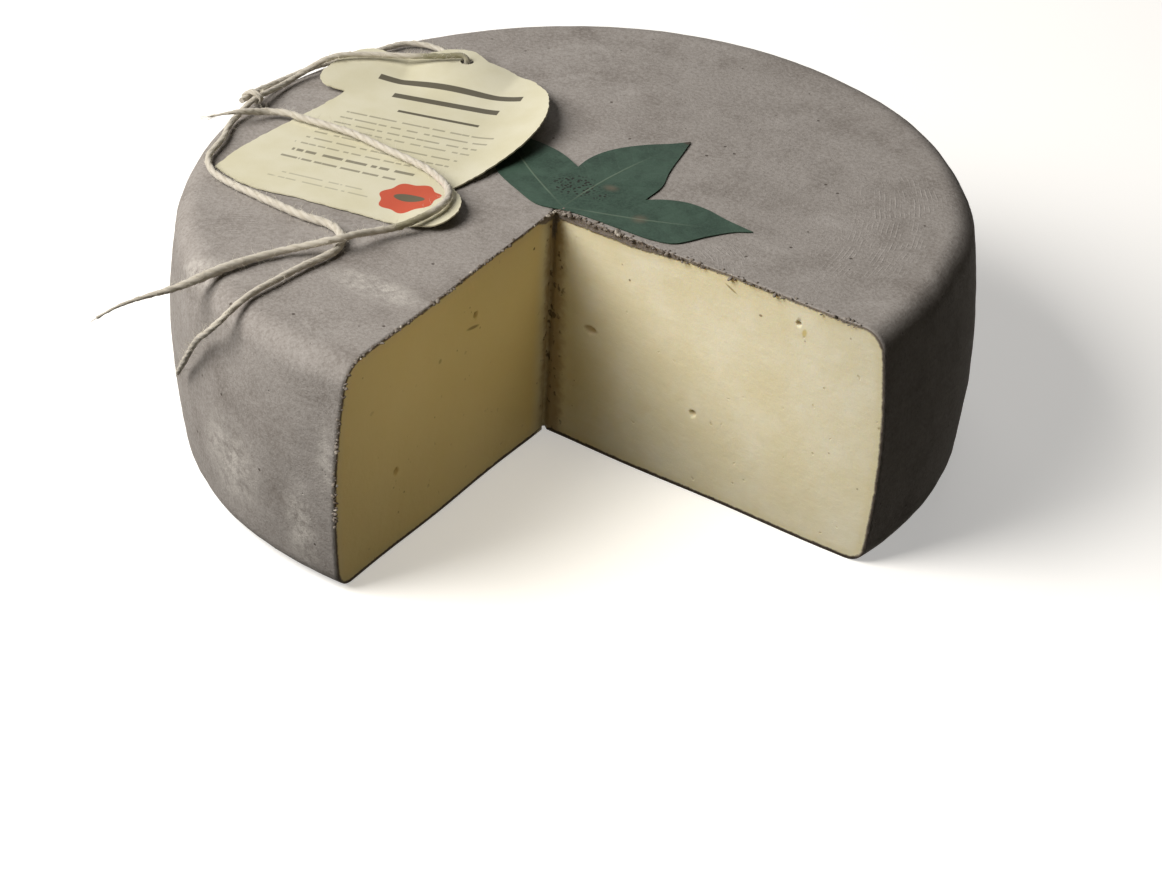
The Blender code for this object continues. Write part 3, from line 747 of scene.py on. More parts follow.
# %% Lamps, world and floor
KEY_PLACE = (-0.58, -0.74, 0.93)
KEY_SIZE = 0.88
KEY_POWER = 25
BACK_PLACE = (-0.7, 1.1, 0.8)
BACK_SIZE = 1.0
BACK_POWER = 4
BOUNCE_PLACE = (0.1, -0.1, 0.08)
BOUNCE_AIM = (0, -0.07, 0.06)
BOUNCE_SIZE = 0.07
BOUNCE_POWER = 0.018
# The sky's tint and strength as a light, and as the camera sees it behind the floor's edge
SKY_TINT = (1, 0.88, 0.68, 1)
SKY_LIGHT = 0.032
SKY_TINT_SEEN = (1, 0.99, 0.98, 1)
SKY_SEEN_MORE = 0.93
FLOOR_HALF = 8


def area_light(name, place, size, power, tint, aim=(0, 0, 0)):
    """A square soft lamp that faces its aim and isn't seen itself."""
    lamp = bpy.data.lights.new(name, "AREA")
    lamp.shape = "SQUARE"
    lamp.size = size
    lamp.energy = power
    lamp.color = tint
    obj = bpy.data.objects.new(name, lamp)
    obj.location = place
    obj.rotation_euler = (Vector(aim) - Vector(place)).to_track_quat("-Z", "Y").to_euler()
    obj.visible_camera = False
    bpy.context.scene.collection.objects.link(obj)


area_light("softbox_left", KEY_PLACE, KEY_SIZE, KEY_POWER, (1, 0.972, 0.93))
area_light("fill_behind", BACK_PLACE, BACK_SIZE, BACK_POWER, (1, 0.98, 0.96))
area_light("notch_bounce", BOUNCE_PLACE, BOUNCE_SIZE, BOUNCE_POWER, (1, 0.84, 0.52), BOUNCE_AIM)

world = bpy.data.worlds.new("studio")
bpy.context.scene.world = world
world.use_nodes = True
sky = Board(world.node_tree)
seen = sky.node("ShaderNodeLightPath").output("Is Camera Ray")
background = world.node_tree.nodes["Background"]
sky.feed(background.inputs["Color"], sky.mix(seen, SKY_TINT, SKY_TINT_SEEN))
sky.feed(background.inputs["Strength"], seen * SKY_SEEN_MORE + SKY_LIGHT)
bpy.context.scene.view_settings.view_transform = "Standard"

floor_corners = [(x * FLOOR_HALF, y * FLOOR_HALF, 0) for x, y in ((-1, -1), (1, -1), (1, 1), (-1, 1))]
floor = new_piece("studio_floor", floor_corners, faces=[(0, 1, 2, 3)])
floor_finish = Finish("studio_paper", Roughness=0.9, Specular_IOR_Level=0.1, Emission_Strength=0.4,
                      Emission_Color=(1, 0.99, 0.97, 1))
floor_finish.shader.inputs["Base Color"].default_value = (0.86, 0.85, 0.83, 1)
floor.data.materials.append(floor_finish.material)
# Diffuse rays pass through the floor, so that it doesn't brighten the wheel's dark side
floor.visible_diffuse = False
print("three soft lamps, a pale world and a floor")

# %% [markdown]
# ## Rind
# The wheel is rubbed with ash and spice, so its rind is a matt, warm grey felt: cloudy at the size of
# a thumb print, dusty in pale patches, with fine pits, a few dark specks, and faint arcs where a hand
# or a brush went round it. Layers of noise at those sizes make it, all on Object coordinates, so the
# pattern stays put when the camera moves.

# %% The rind's finish
RIND_MAIN = colour(147, 141, 136)
RIND_DARK = colour(120, 113, 107)
RIND_PALE = colour(184, 179, 175)
RIND_DUST = colour(200, 195, 188)
RIND_SPECK = colour(62, 52, 44)

# Patches of fine arcs: their hub, and the middle and half sizes of the patch, in millimetres
ARC_SPACING = 1.5 * MM
BRUSHED = [((-58, -104, 86), (-76, -84, 86), (15, 13, 6)), ((44, -30, 86), (64, -6, 86), (13, 14, 6)),
           ((0, 0, 86), (100, 30, 86), (22, 32, 6)), ((0, 0, 86), (88, 62, 86), (22, 26, 6))]
# Dusty patches: their middle and half sizes
DUSTY = [((-12, -88, 86), (26, 9, 5)), ((-60, -112, 82), (26, 10, 8)), ((-40, -128, 30), (24, 22, 24)),
         ((-6, -134, 20), (10, 20, 26)), ((-112, -74, 60), (24, 22, 26)),
         ((6, -134, 50), (6, 6, 22))]


def rind_finish():
    rind = Finish("ash_rind", Specular_IOR_Level=0.25)
    place = rind.place
    on_side = rind.ramp(78 * MM, 70 * MM, rind.axes(place)[2])
    clouds = rind.noise(place, 22 * MM, detail=4, roughness=0.6)
    fine = rind.noise(place, 1.3 * MM, detail=4, roughness=0.7)
    grain = rind.noise(place, 0.6 * MM, detail=2, roughness=0.6)
    dust = rind.noise(place, 34 * MM, detail=5, roughness=0.7, distortion=0.6)
    streaks = rind.noise(rind.stretched((30 * MM, 30 * MM, 2.2 * MM)), 1, detail=3)
    # Fine scratches in arcs, each patch of them round a hub of its own
    wobble = rind.noise(place, 24 * MM, detail=2) * (4 * MM)
    broken = rind.ramp(0.42, 0.62, rind.noise(place, 5 * MM, detail=4))
    arcs = 0
    for hub, centre, half_sizes in BRUSHED:
        away = (place - Vector(hub) * MM).maths("LENGTH").output("Value") + wobble
        wave = (away * (math.tau / ARC_SPACING)).maths("SINE")
        arcs = rind.ramp(0.35, 0.95, wave) * broken * rind.spot(centre, half_sizes, core=0.2) + arcs
    # Dust rubbed off in patches
    rubbed = 0
    for centre, half_sizes in DUSTY:
        rubbed = rind.spot(centre, half_sizes, core=0.1) + rubbed
    rubbed = rubbed * rind.ramp(0.36, 0.62, rind.noise(place, 4 * MM, detail=6, roughness=0.75))
    rubbed = rubbed * rind.ramp(0.2, 0.55, grain)
    # Specks and pits
    off_middle, chance = rind.cells(place, 7 * MM)
    specks = rind.ramp(0.1, 0.05, off_middle) * rind.ramp(0.68, 0.71, chance)
    pits = rind.ramp(0.24, 0.14, rind.noise(place, 2.4 * MM, detail=1))
    tint = rind.layers(
        rind.mix(rind.ramp(0.2, 0.6, clouds), RIND_DARK, RIND_MAIN),
        (rind.ramp(0.5, 0.74, dust), 0.35, RIND_PALE),
        (rind.ramp(0.35, 0.75, fine), 0.4, RIND_PALE),
        (rind.ramp(0.5, 0.3, fine), 0.3, RIND_DARK),
        (rind.ramp(0.55, 0.7, grain), 0.3, RIND_DARK),
        (rind.ramp(0.55, 0.75, streaks) * on_side, 0.2, RIND_PALE),
        (rubbed, 0.85, RIND_DUST),
        (arcs, 0.38, RIND_PALE),
        (specks, 0.8, RIND_SPECK),
        (pits, 0.5, RIND_DARK))
    relief = fine * 0.4 + grain * 0.2 + clouds * 0.4 - pits * 0.5 - specks * 0.25 + arcs * 0.18
    return rind.show(tint, 0.88 - fine * 0.12, relief, 0.5 * MM)


rind = rind_finish()
print("made", rind.name)

# %% [markdown]
# ## Paste
# Inside, the cheese is pale cream, a little waxy, and lets light in, which subsurface scattering
# gives. A ragged dark line of rind frames each cut. Its thickness is known from one number kept on
# every point of the cut faces: how deep it lies under the rind. Tiny brown flecks of truffle and
# short brown streaks are scattered through it.
# Shade in the corner between the cuts, in the eyes and along the foot, and warm bounce light on the left
# cut, are painted into the paste's colour.

# %% The paste's finish
PASTE = colour(229, 223, 199)
PASTE_DEEP = colour(221, 212, 179)
# The left cut's colour is painted shade lit by warm bounce light: yellower and darker than the right cut
PASTE_LEFT_BOUNCE_SHADE = colour(230, 208, 142)
# Painted shade in the corner where the two cuts meet
PASTE_CORNER_SHADE = colour(140, 112, 62)
PASTE_FLECK = colour(132, 110, 72)
PASTE_PIN_HOLE = colour(176, 156, 110)
# Painted shade in the eyes' hollows
PASTE_EYE_SHADE = colour(160, 134, 84)
PASTE_RIND = colour(106, 97, 88)
PASTE_TORN_RIND = colour(128, 118, 109)
# The foot's line is bottom rind darkened by painted contact shadow
PASTE_FOOT_RIND_AND_SHADE = colour(74, 63, 52)
PASTE_UNDER_RIND = colour(208, 196, 154)
# Dark spots of painted shade near that corner
PASTE_CORNER_SHADE_SPOT = colour(82, 68, 42)
RIND_LINE = 0.95 * MM
TORN_RIND = 2.3 * MM
# Between these places in Y, the left cut ends and the right one begins. They meet in the corner.
RIGHT_CUT = (-24 * MM, -17 * MM)
CORNER = (1.5 * MM, -12.6 * MM, 0)
# Dark marks in the paste: middle, half sizes and turn in degrees, colour and strength. The ones that sit on
# eyes are painted shade in their hollows; the others are spots of the paste.
MARKS_AND_EYE_SHADES = [((72.4, -12.5, 81.2), (3.4, 3, 0.5), (0, 28, 0), (142, 124, 76), 0.8),
         ((18, -13, 45.4), (3.4, 3, 1.1), (0, -14, 0), (168, 150, 102), 0.6),
         ((101, -12.5, 75.2), (1.2, 3, 2), (0, 15, 0), (196, 176, 96), 0.7),
         ((84.1, -12.5, 75.5), (0.9, 3, 0.6), (0, 0, 0), (120, 96, 60), 0.8),
         ((32.4, -12.6, 70), (0.6, 3, 0.6), (0, 0, 0), (96, 76, 48), 0.8),
         ((2.3, -24.8, 76.8), (3, 0.8, 0.7), (0, 0, 0), (62, 48, 28), 0.9),
         ((5, -58.6, 68.4), (3, 1.2, 1.1), (0, 0, 0), (88, 62, 32), 0.9),
         ((98.6, -12.5, 77.8), (0.9, 3, 0.8), (0, 0, 0), (86, 64, 36), 0.9),
         ((5, -60, 64.1), (3, 4.6, 0.8), (-11, 0, 0), (104, 82, 44), 0.7),
         ((6.5, -78.5, 60.6), (3, 1.2, 1.2), (0, 0, 0), (140, 118, 70), 0.5)]


def paste_finish():
    paste = Finish("cheese_paste", Subsurface_Weight=0.35, Subsurface_Radius=(1.0, 0.72, 0.36),
                   Subsurface_Scale=0.004, Specular_IOR_Level=0.4)
    place = paste.place
    x, y, z = paste.axes(place)
    depth = paste.attribute("depth")
    clouds = paste.noise(place, 18 * MM, detail=4)
    fine = paste.noise(place, 1.3 * MM, detail=4, roughness=0.65)
    tears = paste.noise(place, 3.5 * MM, detail=3)
    drag = paste.noise(paste.stretched((26 * MM, 26 * MM, 1.6 * MM)), 1, detail=3)
    # The rind's cut edge: ragged, torn down near the apex on the right, and thicker and darker at the foot,
    # where the bottom rind is deepened by painted contact shadow
    on_right = paste.ramp(*RIGHT_CUT, y)
    torn = on_right * paste.ramp(62 * MM, 30 * MM, x) * paste.ramp(66 * MM, 78 * MM, z)
    foot = paste.ramp(3 * MM, 0.5 * MM, z)
    ragged = depth - (tears - 0.5) * (1.0 * MM) - (fine - 0.5) * (0.8 * MM)
    ragged = ragged - torn * TORN_RIND - foot * (0.4 * MM)
    line = paste.ramp(RIND_LINE * 1.5, RIND_LINE * 0.6, ragged)
    under = paste.ramp(5 * MM, 0.8 * MM, ragged)
    # Painted shade: darker brown in the corner where the two cuts meet, with dark spots close to it
    from_corner = (place - CORNER).maths("MULTIPLY", (1, 1, 0)).maths("LENGTH").output("Value")
    # Painted shade with warm bounce light, over the whole left cut
    left_bounce_shade = 1 - paste.ramp(-24 * MM, -14.5 * MM, y)
    groove = paste.ramp(6.5 * MM, 1.5 * MM, from_corner + (tears - 0.5) * (5 * MM))
    corner_shade_spots = paste.ramp(0.6, 0.68, paste.noise(place, 3.4 * MM, detail=2))
    corner_shade_spots = corner_shade_spots * paste.ramp(6 * MM, 3 * MM, from_corner)
    off_middle, chance = paste.cells(place, 6 * MM)
    flecks = paste.ramp(0.09, 0.05, off_middle) * paste.ramp(0.66, 0.7, chance)
    pin_holes = paste.ramp(0.27, 0.2, paste.noise(place, 3.1 * MM, detail=1))
    # Marks that sit on the eyes paint shade into their hollows
    marks_and_eye_shades = [(paste.spot(middle, half_sizes, turned), strength, colour(*shade))
             for middle, half_sizes, turned, shade, strength in MARKS_AND_EYE_SHADES]
    tint = paste.layers(
        paste.mix(paste.ramp(0.3, 0.75, clouds), PASTE_DEEP, PASTE),
        (paste.ramp(0.45, 0.8, drag), 0.15, PASTE_DEEP),
        (left_bounce_shade, 0.85, PASTE_LEFT_BOUNCE_SHADE),
        (under, 0.5, PASTE_UNDER_RIND),
        (groove, 0.75, PASTE_CORNER_SHADE),
        (flecks, 0.5, PASTE_FLECK),
        (pin_holes, 0.3, PASTE_PIN_HOLE),
        (corner_shade_spots, 0.8, PASTE_CORNER_SHADE_SPOT),
        *marks_and_eye_shades,
        (paste.attribute("eye"), 0.6, PASTE_EYE_SHADE))
    edge = paste.mix(torn * paste.ramp(0.3, 0.5, fine), PASTE_RIND, PASTE_TORN_RIND)
    tint = paste.mix(line, tint, paste.mix(foot, edge, PASTE_FOOT_RIND_AND_SHADE))
    relief = fine * 0.25 + drag * 0.12 + tears * 0.3 - pin_holes * 0.4 - flecks * 0.15 + line * 0.3
    relief = relief + torn * line * fine * 1.5
    return paste.show(tint, 0.6 + line * 0.3 + fine * 0.1, relief, 0.4 * MM)


paste = paste_finish()
print("made", paste.name)

# %% [markdown]
# ## The wheel's mesh
# Carving a fine wheel with a Boolean would leave long thin faces where smooth shading breaks. Here
# the rind is laid out as a grid instead: columns fan out from the slit at the notch's apex over the
# top, down the side and back underneath, so that the first and last column are exactly the two
# cuts. The cut faces are then filled edge to edge with even triangles that share those points.

# %% Where the cuts run
APEX_TOP = Vector((1.5, -12.4, 86)) * MM
APEX_BOTTOM = Vector((-1.5, -13.6, 0)) * MM
RIM_TOP = (Vector((12.5, -135, 86)) * MM, Vector((134, -12.4, 86)) * MM)
RIM_BOTTOM = (Vector((6.5, -135, 0)) * MM, Vector((134, -15.5, 0)) * MM)
LEFT, RIGHT = 0, 1
OUTWARD = (Vector((1, 0, 0)), Vector((0, -1, 0)))
SLIT_WIDTH = 1.3 * MM
SLIT_DEPTH = 1.5 * MM
SLIT_MOUTH = 0.0095
CUT_WAVE = 0.5 * MM


def apex_at(height):
    """Where the two cuts meet at this height."""
    return between(APEX_BOTTOM, APEX_TOP, height / WHEEL_HEIGHT)


def rim_at(height, side):
    """Where the straight line of a cut ends at this height."""
    return between(RIM_BOTTOM[side], RIM_TOP[side], height / WHEEL_HEIGHT)


def cut_point(side, share, height):
    """A point of a cut face: the share is 0 at the apex and about 1 at the rim."""
    point = between(apex_at(height), rim_at(height, side), share)
    wave = math.sin(7 * share + 3 * side) * math.sin(60 * height + 5 * share)
    return point - OUTWARD[side] * CUT_WAVE * wave * min(share * 8, 1)


def share_at(side, radius, height):
    """Where a cut crosses a circle round the wheel's axis."""
    start = apex_at(height).to_2d()
    reach = rim_at(height, side).to_2d() - start
    half = start.dot(reach)
    rest = start.dot(start) - radius * radius
    return (math.sqrt(half * half - reach.dot(reach) * rest) - half) / reach.dot(reach)


print("the right cut meets the rim at share", round(share_at(RIGHT, WHEEL_RADIUS, 0.04), 3))

# %% Levels of the rind, from the apex over the top and round to the apex underneath
COLUMNS = 400
TOP_STEPS = 72
ARC_STEPS = 8
SIDE_STEPS = 46
FOOT_STEPS = 14
SWELL_START = SHOULDER - 4 * MM


def rind_levels():
    """Each level as its share of the way out from the apex, its radius and its height."""
    low, high = EDGE_ROUNDING, WHEEL_HEIGHT - EDGE_ROUNDING
    arc = [math.radians(90) * step / ARC_STEPS for step in range(ARC_STEPS + 1)]
    out = [SHOULDER + EDGE_ROUNDING * math.sin(angle) for angle in arc]
    up = [EDGE_ROUNDING * math.cos(angle) for angle in arc]
    levels = [(step / TOP_STEPS, SHOULDER, WHEEL_HEIGHT) for step in range(TOP_STEPS)]
    levels += [(1, radius, high + rise) for radius, rise in zip(out, up)]
    for step in range(1, SIDE_STEPS):
        share = 1 - 2 * step / SIDE_STEPS
        levels.append((1, WHEEL_RADIUS - BELLY * share * share, between(high, low, step / SIDE_STEPS)))
    levels += [(1, radius, low - rise) for radius, rise in zip(out[::-1], up[::-1])]
    return levels + [(1 - step / FOOT_STEPS, SHOULDER, 0) for step in range(1, FOOT_STEPS + 1)]


def swollen(radius, angle, height):
    """The radius with the side's swelling added."""
    share = smooth_step(SWELL_START, WHEEL_RADIUS - BELLY, radius)
    share *= smooth_step(0, EDGE_ROUNDING, height)
    return radius + share * side_swell(angle, height)


def lifted(x, y, height):
    """The height with the top's unevenness added."""
    return height + smooth_step(WHEEL_HEIGHT - EDGE_ROUNDING, WHEEL_HEIGHT, height) * unevenness(x, y)


def slit_outline(height):
    """The slit at the apex, from its mouth on the right round its end to its mouth on the left."""
    apex = apex_at(height)
    inward = (apex - (rim_at(height, LEFT) + rim_at(height, RIGHT)) / 2).normalized()
    across = (rim_at(height, RIGHT) - rim_at(height, LEFT)).normalized() * SLIT_WIDTH / 2
    end = apex + inward * SLIT_DEPTH
    mouths = [cut_point(side, SLIT_MOUTH, height) for side in (RIGHT, LEFT)]
    return [mouths[0], end + across, end - across, mouths[1]]


def along_chain(chain, share):
    """The point at a share of a chain's length."""
    left = share * length_of(chain)
    for a, b in zip(chain, chain[1:]):
        piece = (b - a).length
        if left <= piece or b is chain[-1]:
            return a.lerp(b, min(left / piece, 1))
        left -= piece


levels = rind_levels()
print(len(levels), "levels of", COLUMNS + 1, "points")


# %% The two edges of the rind, where it meets the cuts
EDGE_ROUNDS = 3


def edge_point(side, level):
    """The share and the place where a level meets a cut. Swelling shifts it, so it is found in rounds."""
    out, radius, height = level
    place = cut_point(side, share_at(side, radius, height), height)
    for _ in range(EDGE_ROUNDS):
        new_height = lifted(place.x, place.y, height)
        new_radius = swollen(radius, math.atan2(place.y, place.x), height)
        share = between(SLIT_MOUTH, share_at(side, new_radius, new_height), out)
        place = cut_point(side, share, new_height)
    return share, place


edges = [[edge_point(side, level) for level in levels] for side in (LEFT, RIGHT)]
print("length of the right cut's edge", round(length_of([place for _, place in edges[RIGHT]]), 3), "m")


# %% Columns of the rind between its two edges
EDGE_COLUMNS = 14
# Angles are counted from inside the notch, so that they grow from one cut round the back to the other
COUNT_FROM = math.radians(-30)


def compass(place):
    return (math.atan2(place.y, place.x) - COUNT_FROM) % math.tau


def rind_row(level_index):
    """The points of one level, from the right cut round the back to the left one."""
    out, radius, height = levels[level_index]
    first, last = edges[RIGHT][level_index][1], edges[LEFT][level_index][1]
    angles = [compass(cut_point(side, share_at(side, radius, height), height)) for side in (RIGHT, LEFT)]
    slit = slit_outline(height)
    row = []
    for column in range(COLUMNS + 1):
        share = column / COLUMNS
        angle = between(*angles, share) + COUNT_FROM
        reach = swollen(radius, angle, height)
        place = Vector((reach * math.cos(angle), reach * math.sin(angle), height))
        if out < 1:
            place = along_chain(slit, share).lerp(place, out)
        place.z = lifted(place.x, place.y, height)
        row.append(place)
    # The first and last few columns lean over to the wavy cuts
    shifts = (first - row[0], last - row[-1])
    for column in range(COLUMNS + 1):
        for shift, away in zip(shifts, (column, COLUMNS - column)):
            row[column] = row[column] + shift * max(1 - away / EDGE_COLUMNS, 0)
    row[0], row[-1] = first, last
    return row


rows = [rind_row(index) for index in range(len(levels))]
print(len(rows) * (COLUMNS + 1), "points of rind")

# %% [markdown]
# ## The cut faces
# A cut face is flat apart from a slight wave, with a few small eyes in it. It is filled by a
# constrained Delaunay triangulation: the outline's points, even rows inside it, and closer ones
# round each eye, where the paste is pushed in.

# %% Fill an outline with even triangles
FACE_CELL = 1.15 * MM
EYE_CELL = 0.32 * MM
EYE_DEPTH = 1.3 * MM
EYE_MARGIN = 1.4
# Inner points keep this share of a cell away from the outline
CLEARANCE = 0.6
# Each eye: its share of the way from the apex to the rim, its height, its half width and half height
EYES = (
    [(0.376, 68.4 * MM, 1.3 * MM, 1.2 * MM), (0.720, 30.0 * MM, 1.5 * MM, 1.5 * MM)],
    [(0.127, 45.7 * MM, 2.6 * MM, 1.5 * MM), (0.733, 77.8 * MM, 1.1 * MM, 0.9 * MM),
     (0.450, 30.0 * MM, 1.4 * MM, 1.2 * MM)],
)


def hex_points(low, high, cell):
    """Points in even rows, every other row shifted by half a cell."""
    for row in range(1, math.ceil((high[1] - low[1]) / cell)):
        for column in range(1, math.ceil((high[0] - low[0]) / cell) + 1):
            yield (low[0] + (column - 0.5 * (row % 2)) * cell, low[1] + row * cell)


def middle_of(places, face):
    return sum((places[corner] for corner in face), Vector((0, 0))) / len(face)


def near_finder(points):
    """A search tree over flat points."""
    finder = KDTree(len(points))
    for index, point in enumerate(points):
        finder.insert((*point, 0), index)
    finder.balance()
    return finder


def triangulate(loops, extra, cell):
    """Fills the first closed loop, but not the others, which are holes. Returns places and faces."""
    places, chains = [], []
    for loop in loops:
        count = len(loop)
        chains += [(len(places) + i, len(places) + (i + 1) % count) for i in range(count)]
        places += [Vector(point) for point in loop]
    low = [min(place[axis] for place in places) for axis in (0, 1)]
    high = [max(place[axis] for place in places) for axis in (0, 1)]
    places += [Vector(point) for point in extra]
    gap_at = near_finder(places).find
    places += [Vector(point) for point in hex_points(low, high, cell)
               if gap_at((*point, 0))[2] > CLEARANCE * cell]
    found, _, faces = delaunay_2d_cdt(places, chains, [], 1, 1e-8)[:3]
    kept = [tuple(face) for face in faces
            if not any(inside(middle_of(found, face), hole) for hole in loops[1:])]
    return found, kept


def inside(point, loop):
    """Whether a point lies inside a closed loop."""
    crossings = 0
    for (x0, y0), (x1, y1) in zip(loop, loop[1:] + loop[:1]):
        if (y0 > point[1]) != (y1 > point[1]) and point[0] < x0 + (x1 - x0) * (point[1] - y0) / (y1 - y0):
            crossings += 1
    return crossings % 2 == 1


# %% Lay out one cut face
MOUTH_STEPS = 60
SKIN_STEP = 0.4 * MM

mouth_heights = [WHEEL_HEIGHT * step / MOUTH_STEPS for step in range(1, MOUTH_STEPS)]


def finer(chain, step):
    """The same chain with more points along each of its pieces."""
    for (x0, y0), (x1, y1) in zip(chain, chain[1:]):
        count = max(1, math.ceil(math.hypot(x1 - x0, y1 - y0) / step))
        for part in range(count):
            yield between(x0, x1, part / count), between(y0, y1, part / count)


def key_of(along, height):
    """A point rounded to a micrometre, so that it is found again after triangulation."""
    return (round(along, 6), round(height, 6))


def eye_depth(side, along, height, reach):
    """How far the paste is pushed in at this place of a cut face."""
    deepest = 0
    for share, middle, half_width, half_height in EYES[side]:
        off = math.hypot((along - share * reach) / half_width, (height - middle) / half_height)
        if off < 1:
            deepest = max(deepest, EYE_DEPTH * math.sqrt(1 - off * off))
    return deepest


def cut_face(side):
    """Places and faces of one cut face, and its depth under the rind, eye share and looseness."""
    reach = (RIM_TOP[side] - APEX_TOP).length
    outline = [(share * reach, place.z) for share, place in edges[side]]
    mouth = [(SLIT_MOUTH * reach, height) for height in mouth_heights]
    round_eyes = []
    for share, middle, half_width, half_height in EYES[side]:
        low = (share * reach - EYE_MARGIN * half_width, middle - EYE_MARGIN * half_height)
        high = (share * reach + EYE_MARGIN * half_width, middle + EYE_MARGIN * half_height)
        round_eyes += hex_points(low, high, EYE_CELL)
    flat, faces = triangulate([outline + mouth], round_eyes, FACE_CELL)
    skin = near_finder(list(finer(outline, SKIN_STEP)))
    known = {key_of(*point): place for point, (_, place) in zip(outline, edges[side])}
    places, values = [], []
    for along, height in flat:
        place = known.get(key_of(along, height))
        pushed = eye_depth(side, along, height, reach)
        if place is None:
            place = cut_point(side, along / reach, height) - OUTWARD[side] * pushed
        places.append(place)
        values.append((skin.find((along, height, 0))[2], pushed / EYE_DEPTH, 0))
    return places, faces, values


faces_cut = [cut_face(side) for side in (LEFT, RIGHT)]
print("cut faces:", [len(faces) for _, faces, _ in faces_cut], "triangles")


# %% The slit's wall
WALL_CELL = 1.6 * MM


def slit_wall():
    """Places and faces of the wall that runs round the slit from mouth to mouth."""
    around = length_of(slit_outline(WHEEL_HEIGHT))
    top = [(around * column / COLUMNS, WHEEL_HEIGHT) for column in range(COLUMNS + 1)]
    foot = [(along, 0) for along, _ in top]
    left_mouth = [(around, height) for height in mouth_heights]
    right_mouth = [(0, height) for height in mouth_heights]
    flat, faces = triangulate([foot + left_mouth + top[::-1] + right_mouth[::-1]], [], WALL_CELL)
    known = {key_of(*point): place for point, place in zip(top + foot, rows[0] + rows[-1])}
    for side, mouth in ((LEFT, left_mouth), (RIGHT, right_mouth)):
        known.update((key_of(*point), cut_point(side, SLIT_MOUTH, point[1])) for point in mouth)
    places = []
    for along, height in flat:
        place = known.get(key_of(along, height))
        if place is None:
            place = along_chain(slit_outline(height), along / around)
        places.append(place)
    return places, faces


slit = slit_wall()
print("slit wall:", len(slit[1]), "triangles")


# %% Join rind, cut faces and slit into one closed skin
POINT_VALUES = ("depth", "eye", "loose")
SLIT_TINT_DEPTH = 3 * MM
MERGE_DISTANCE = 2e-6
# The rind's relief grows from nothing over these distances from a cut and from the foot
RELIEF_FADE = 6 * MM
FOOT_FADE = 4 * MM


def add_faces(bm, places, faces, values, is_paste):
    """Adds one patch; every point has its values in the order of their names."""
    verts = [bm.verts.new(place) for place in places]
    for number, name in enumerate(POINT_VALUES):
        layer = bm.verts.layers.float[name]
        for vert, given in zip(verts, values):
            vert[layer] = given[number]
    paste_layer = bm.faces.layers.float["is_paste"]
    for corners in faces:
        bm.faces.new([verts[corner] for corner in corners])[paste_layer] = is_paste


def rind_grid():
    """The rind's places and faces, and how free each point is to take relief."""
    places, faces, values = [], [], []
    for row in rows:
        places += row
        for place in row:
            away = min((place - row[0]).length, (place - row[-1]).length)
            free = smooth_step(0, RELIEF_FADE, away) * smooth_step(0, FOOT_FADE, place.z)
            values.append((0, 0, free))
    width = COLUMNS + 1
    for level in range(len(rows) - 1):
        for column in range(COLUMNS):
            corner = level * width + column
            faces.append((corner, corner + 1, corner + 1 + width, corner + width))
    return places, faces, values


def build_wheel():
    bm = bmesh.new()
    for name in POINT_VALUES:
        bm.verts.layers.float.new(name)
    bm.faces.layers.float.new("is_paste")
    add_faces(bm, *rind_grid(), 0)
    for patch in faces_cut:
        add_faces(bm, *patch, 1)
    places, faces = slit
    add_faces(bm, places, faces, [(SLIT_TINT_DEPTH, 0, 0)] * len(places), 1)
    bmesh.ops.remove_doubles(bm, verts=bm.verts[:], dist=MERGE_DISTANCE)
    bmesh.ops.recalc_face_normals(bm, faces=bm.faces[:])
    open_edges = sum(1 for edge in bm.edges if not edge.is_manifold)
    print("wheel:", len(bm.verts), "points,", open_edges, "open edges")
    wheel = new_piece("wheel_rind_and_paste")
    bm.to_mesh(wheel.data)
    bm.free()
    return wheel


wheel = build_wheel()

# %% [markdown]
# ## Low relief
# Pressed curd is never quite smooth: the rind has soft lumps and a few broad dents, and the cut paste
# has small tears. A bump in the finish would shade like that but leave the outline clean, so the
# points themselves are moved along their normals, by noise of several sizes. Close to the edges of
# the cuts the movement fades to nothing, which keeps those edges where they were measured.

# %% Give the rind its low relief
reliever = Grower("Rind relief", cloud_size=13 * MM, cloud_depth=0.5 * MM, grain_size=4.5 * MM,
                  grain_depth=0.22 * MM, tear_size=7 * MM, tear_depth=0.12 * MM, dent_size=34 * MM,
                  dent_depth=1.7 * MM, torn_size=2.2 * MM, torn_depth=1.1 * MM)


def build_reliever(tree):
    place = tree.node("GeometryNodeInputPosition")
    x, y, z = tree.axes(place)
    loose, paste_mask, depth = (tree.stored(name) for name in ("loose", "is_paste", "depth"))

    def bumps(name):
        cloud = tree.node("ShaderNodeTexNoise", values={
            "Vector": place, "Scale": 1 / tree.given(name + "_size"), "Detail": 2})
        return (cloud - 0.5) * tree.given(name + "_depth")

    # A few broad dents on the side
    dents = bumps("dent") * tree.ramp(86.5 * MM, 78 * MM, z)
    rind_part = (bumps("cloud") + bumps("grain") + dents) * loose
    # The torn rind near the apex on the right is rough
    near_apex = tree.ramp(62 * MM, 20 * MM, x) * tree.ramp(*RIGHT_CUT, y) * tree.ramp(70 * MM, 78 * MM, z)
    near_rind = tree.ramp(4 * MM, 2 * MM, depth) * tree.ramp(0, 0.8 * MM, depth)
    paste_part = bumps("tear") * tree.ramp(0, 3 * MM, depth) + bumps("torn") * near_apex * near_rind
    tree.close(tree.raised(tree.given("Geometry"), rind_part + paste_part), inner=paste_mask)


build_reliever(reliever)
reliever.grow(wheel, rind, paste)
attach(wheel, "root")
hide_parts("cheese_wheel")
print("wheel:", count_of(wheel), "triangles")

# %% [markdown]
# ## Crumbs
# Cutting tore the rind, so small crumbs of rind and paste cling along the top edges of the cuts,
# most of them near the apex on the right. One tree scatters them: it throws points along the edge,
# closer together at one end, and sets a small lump on each. The lumps are then dented by noise, so
# that no two are alike.

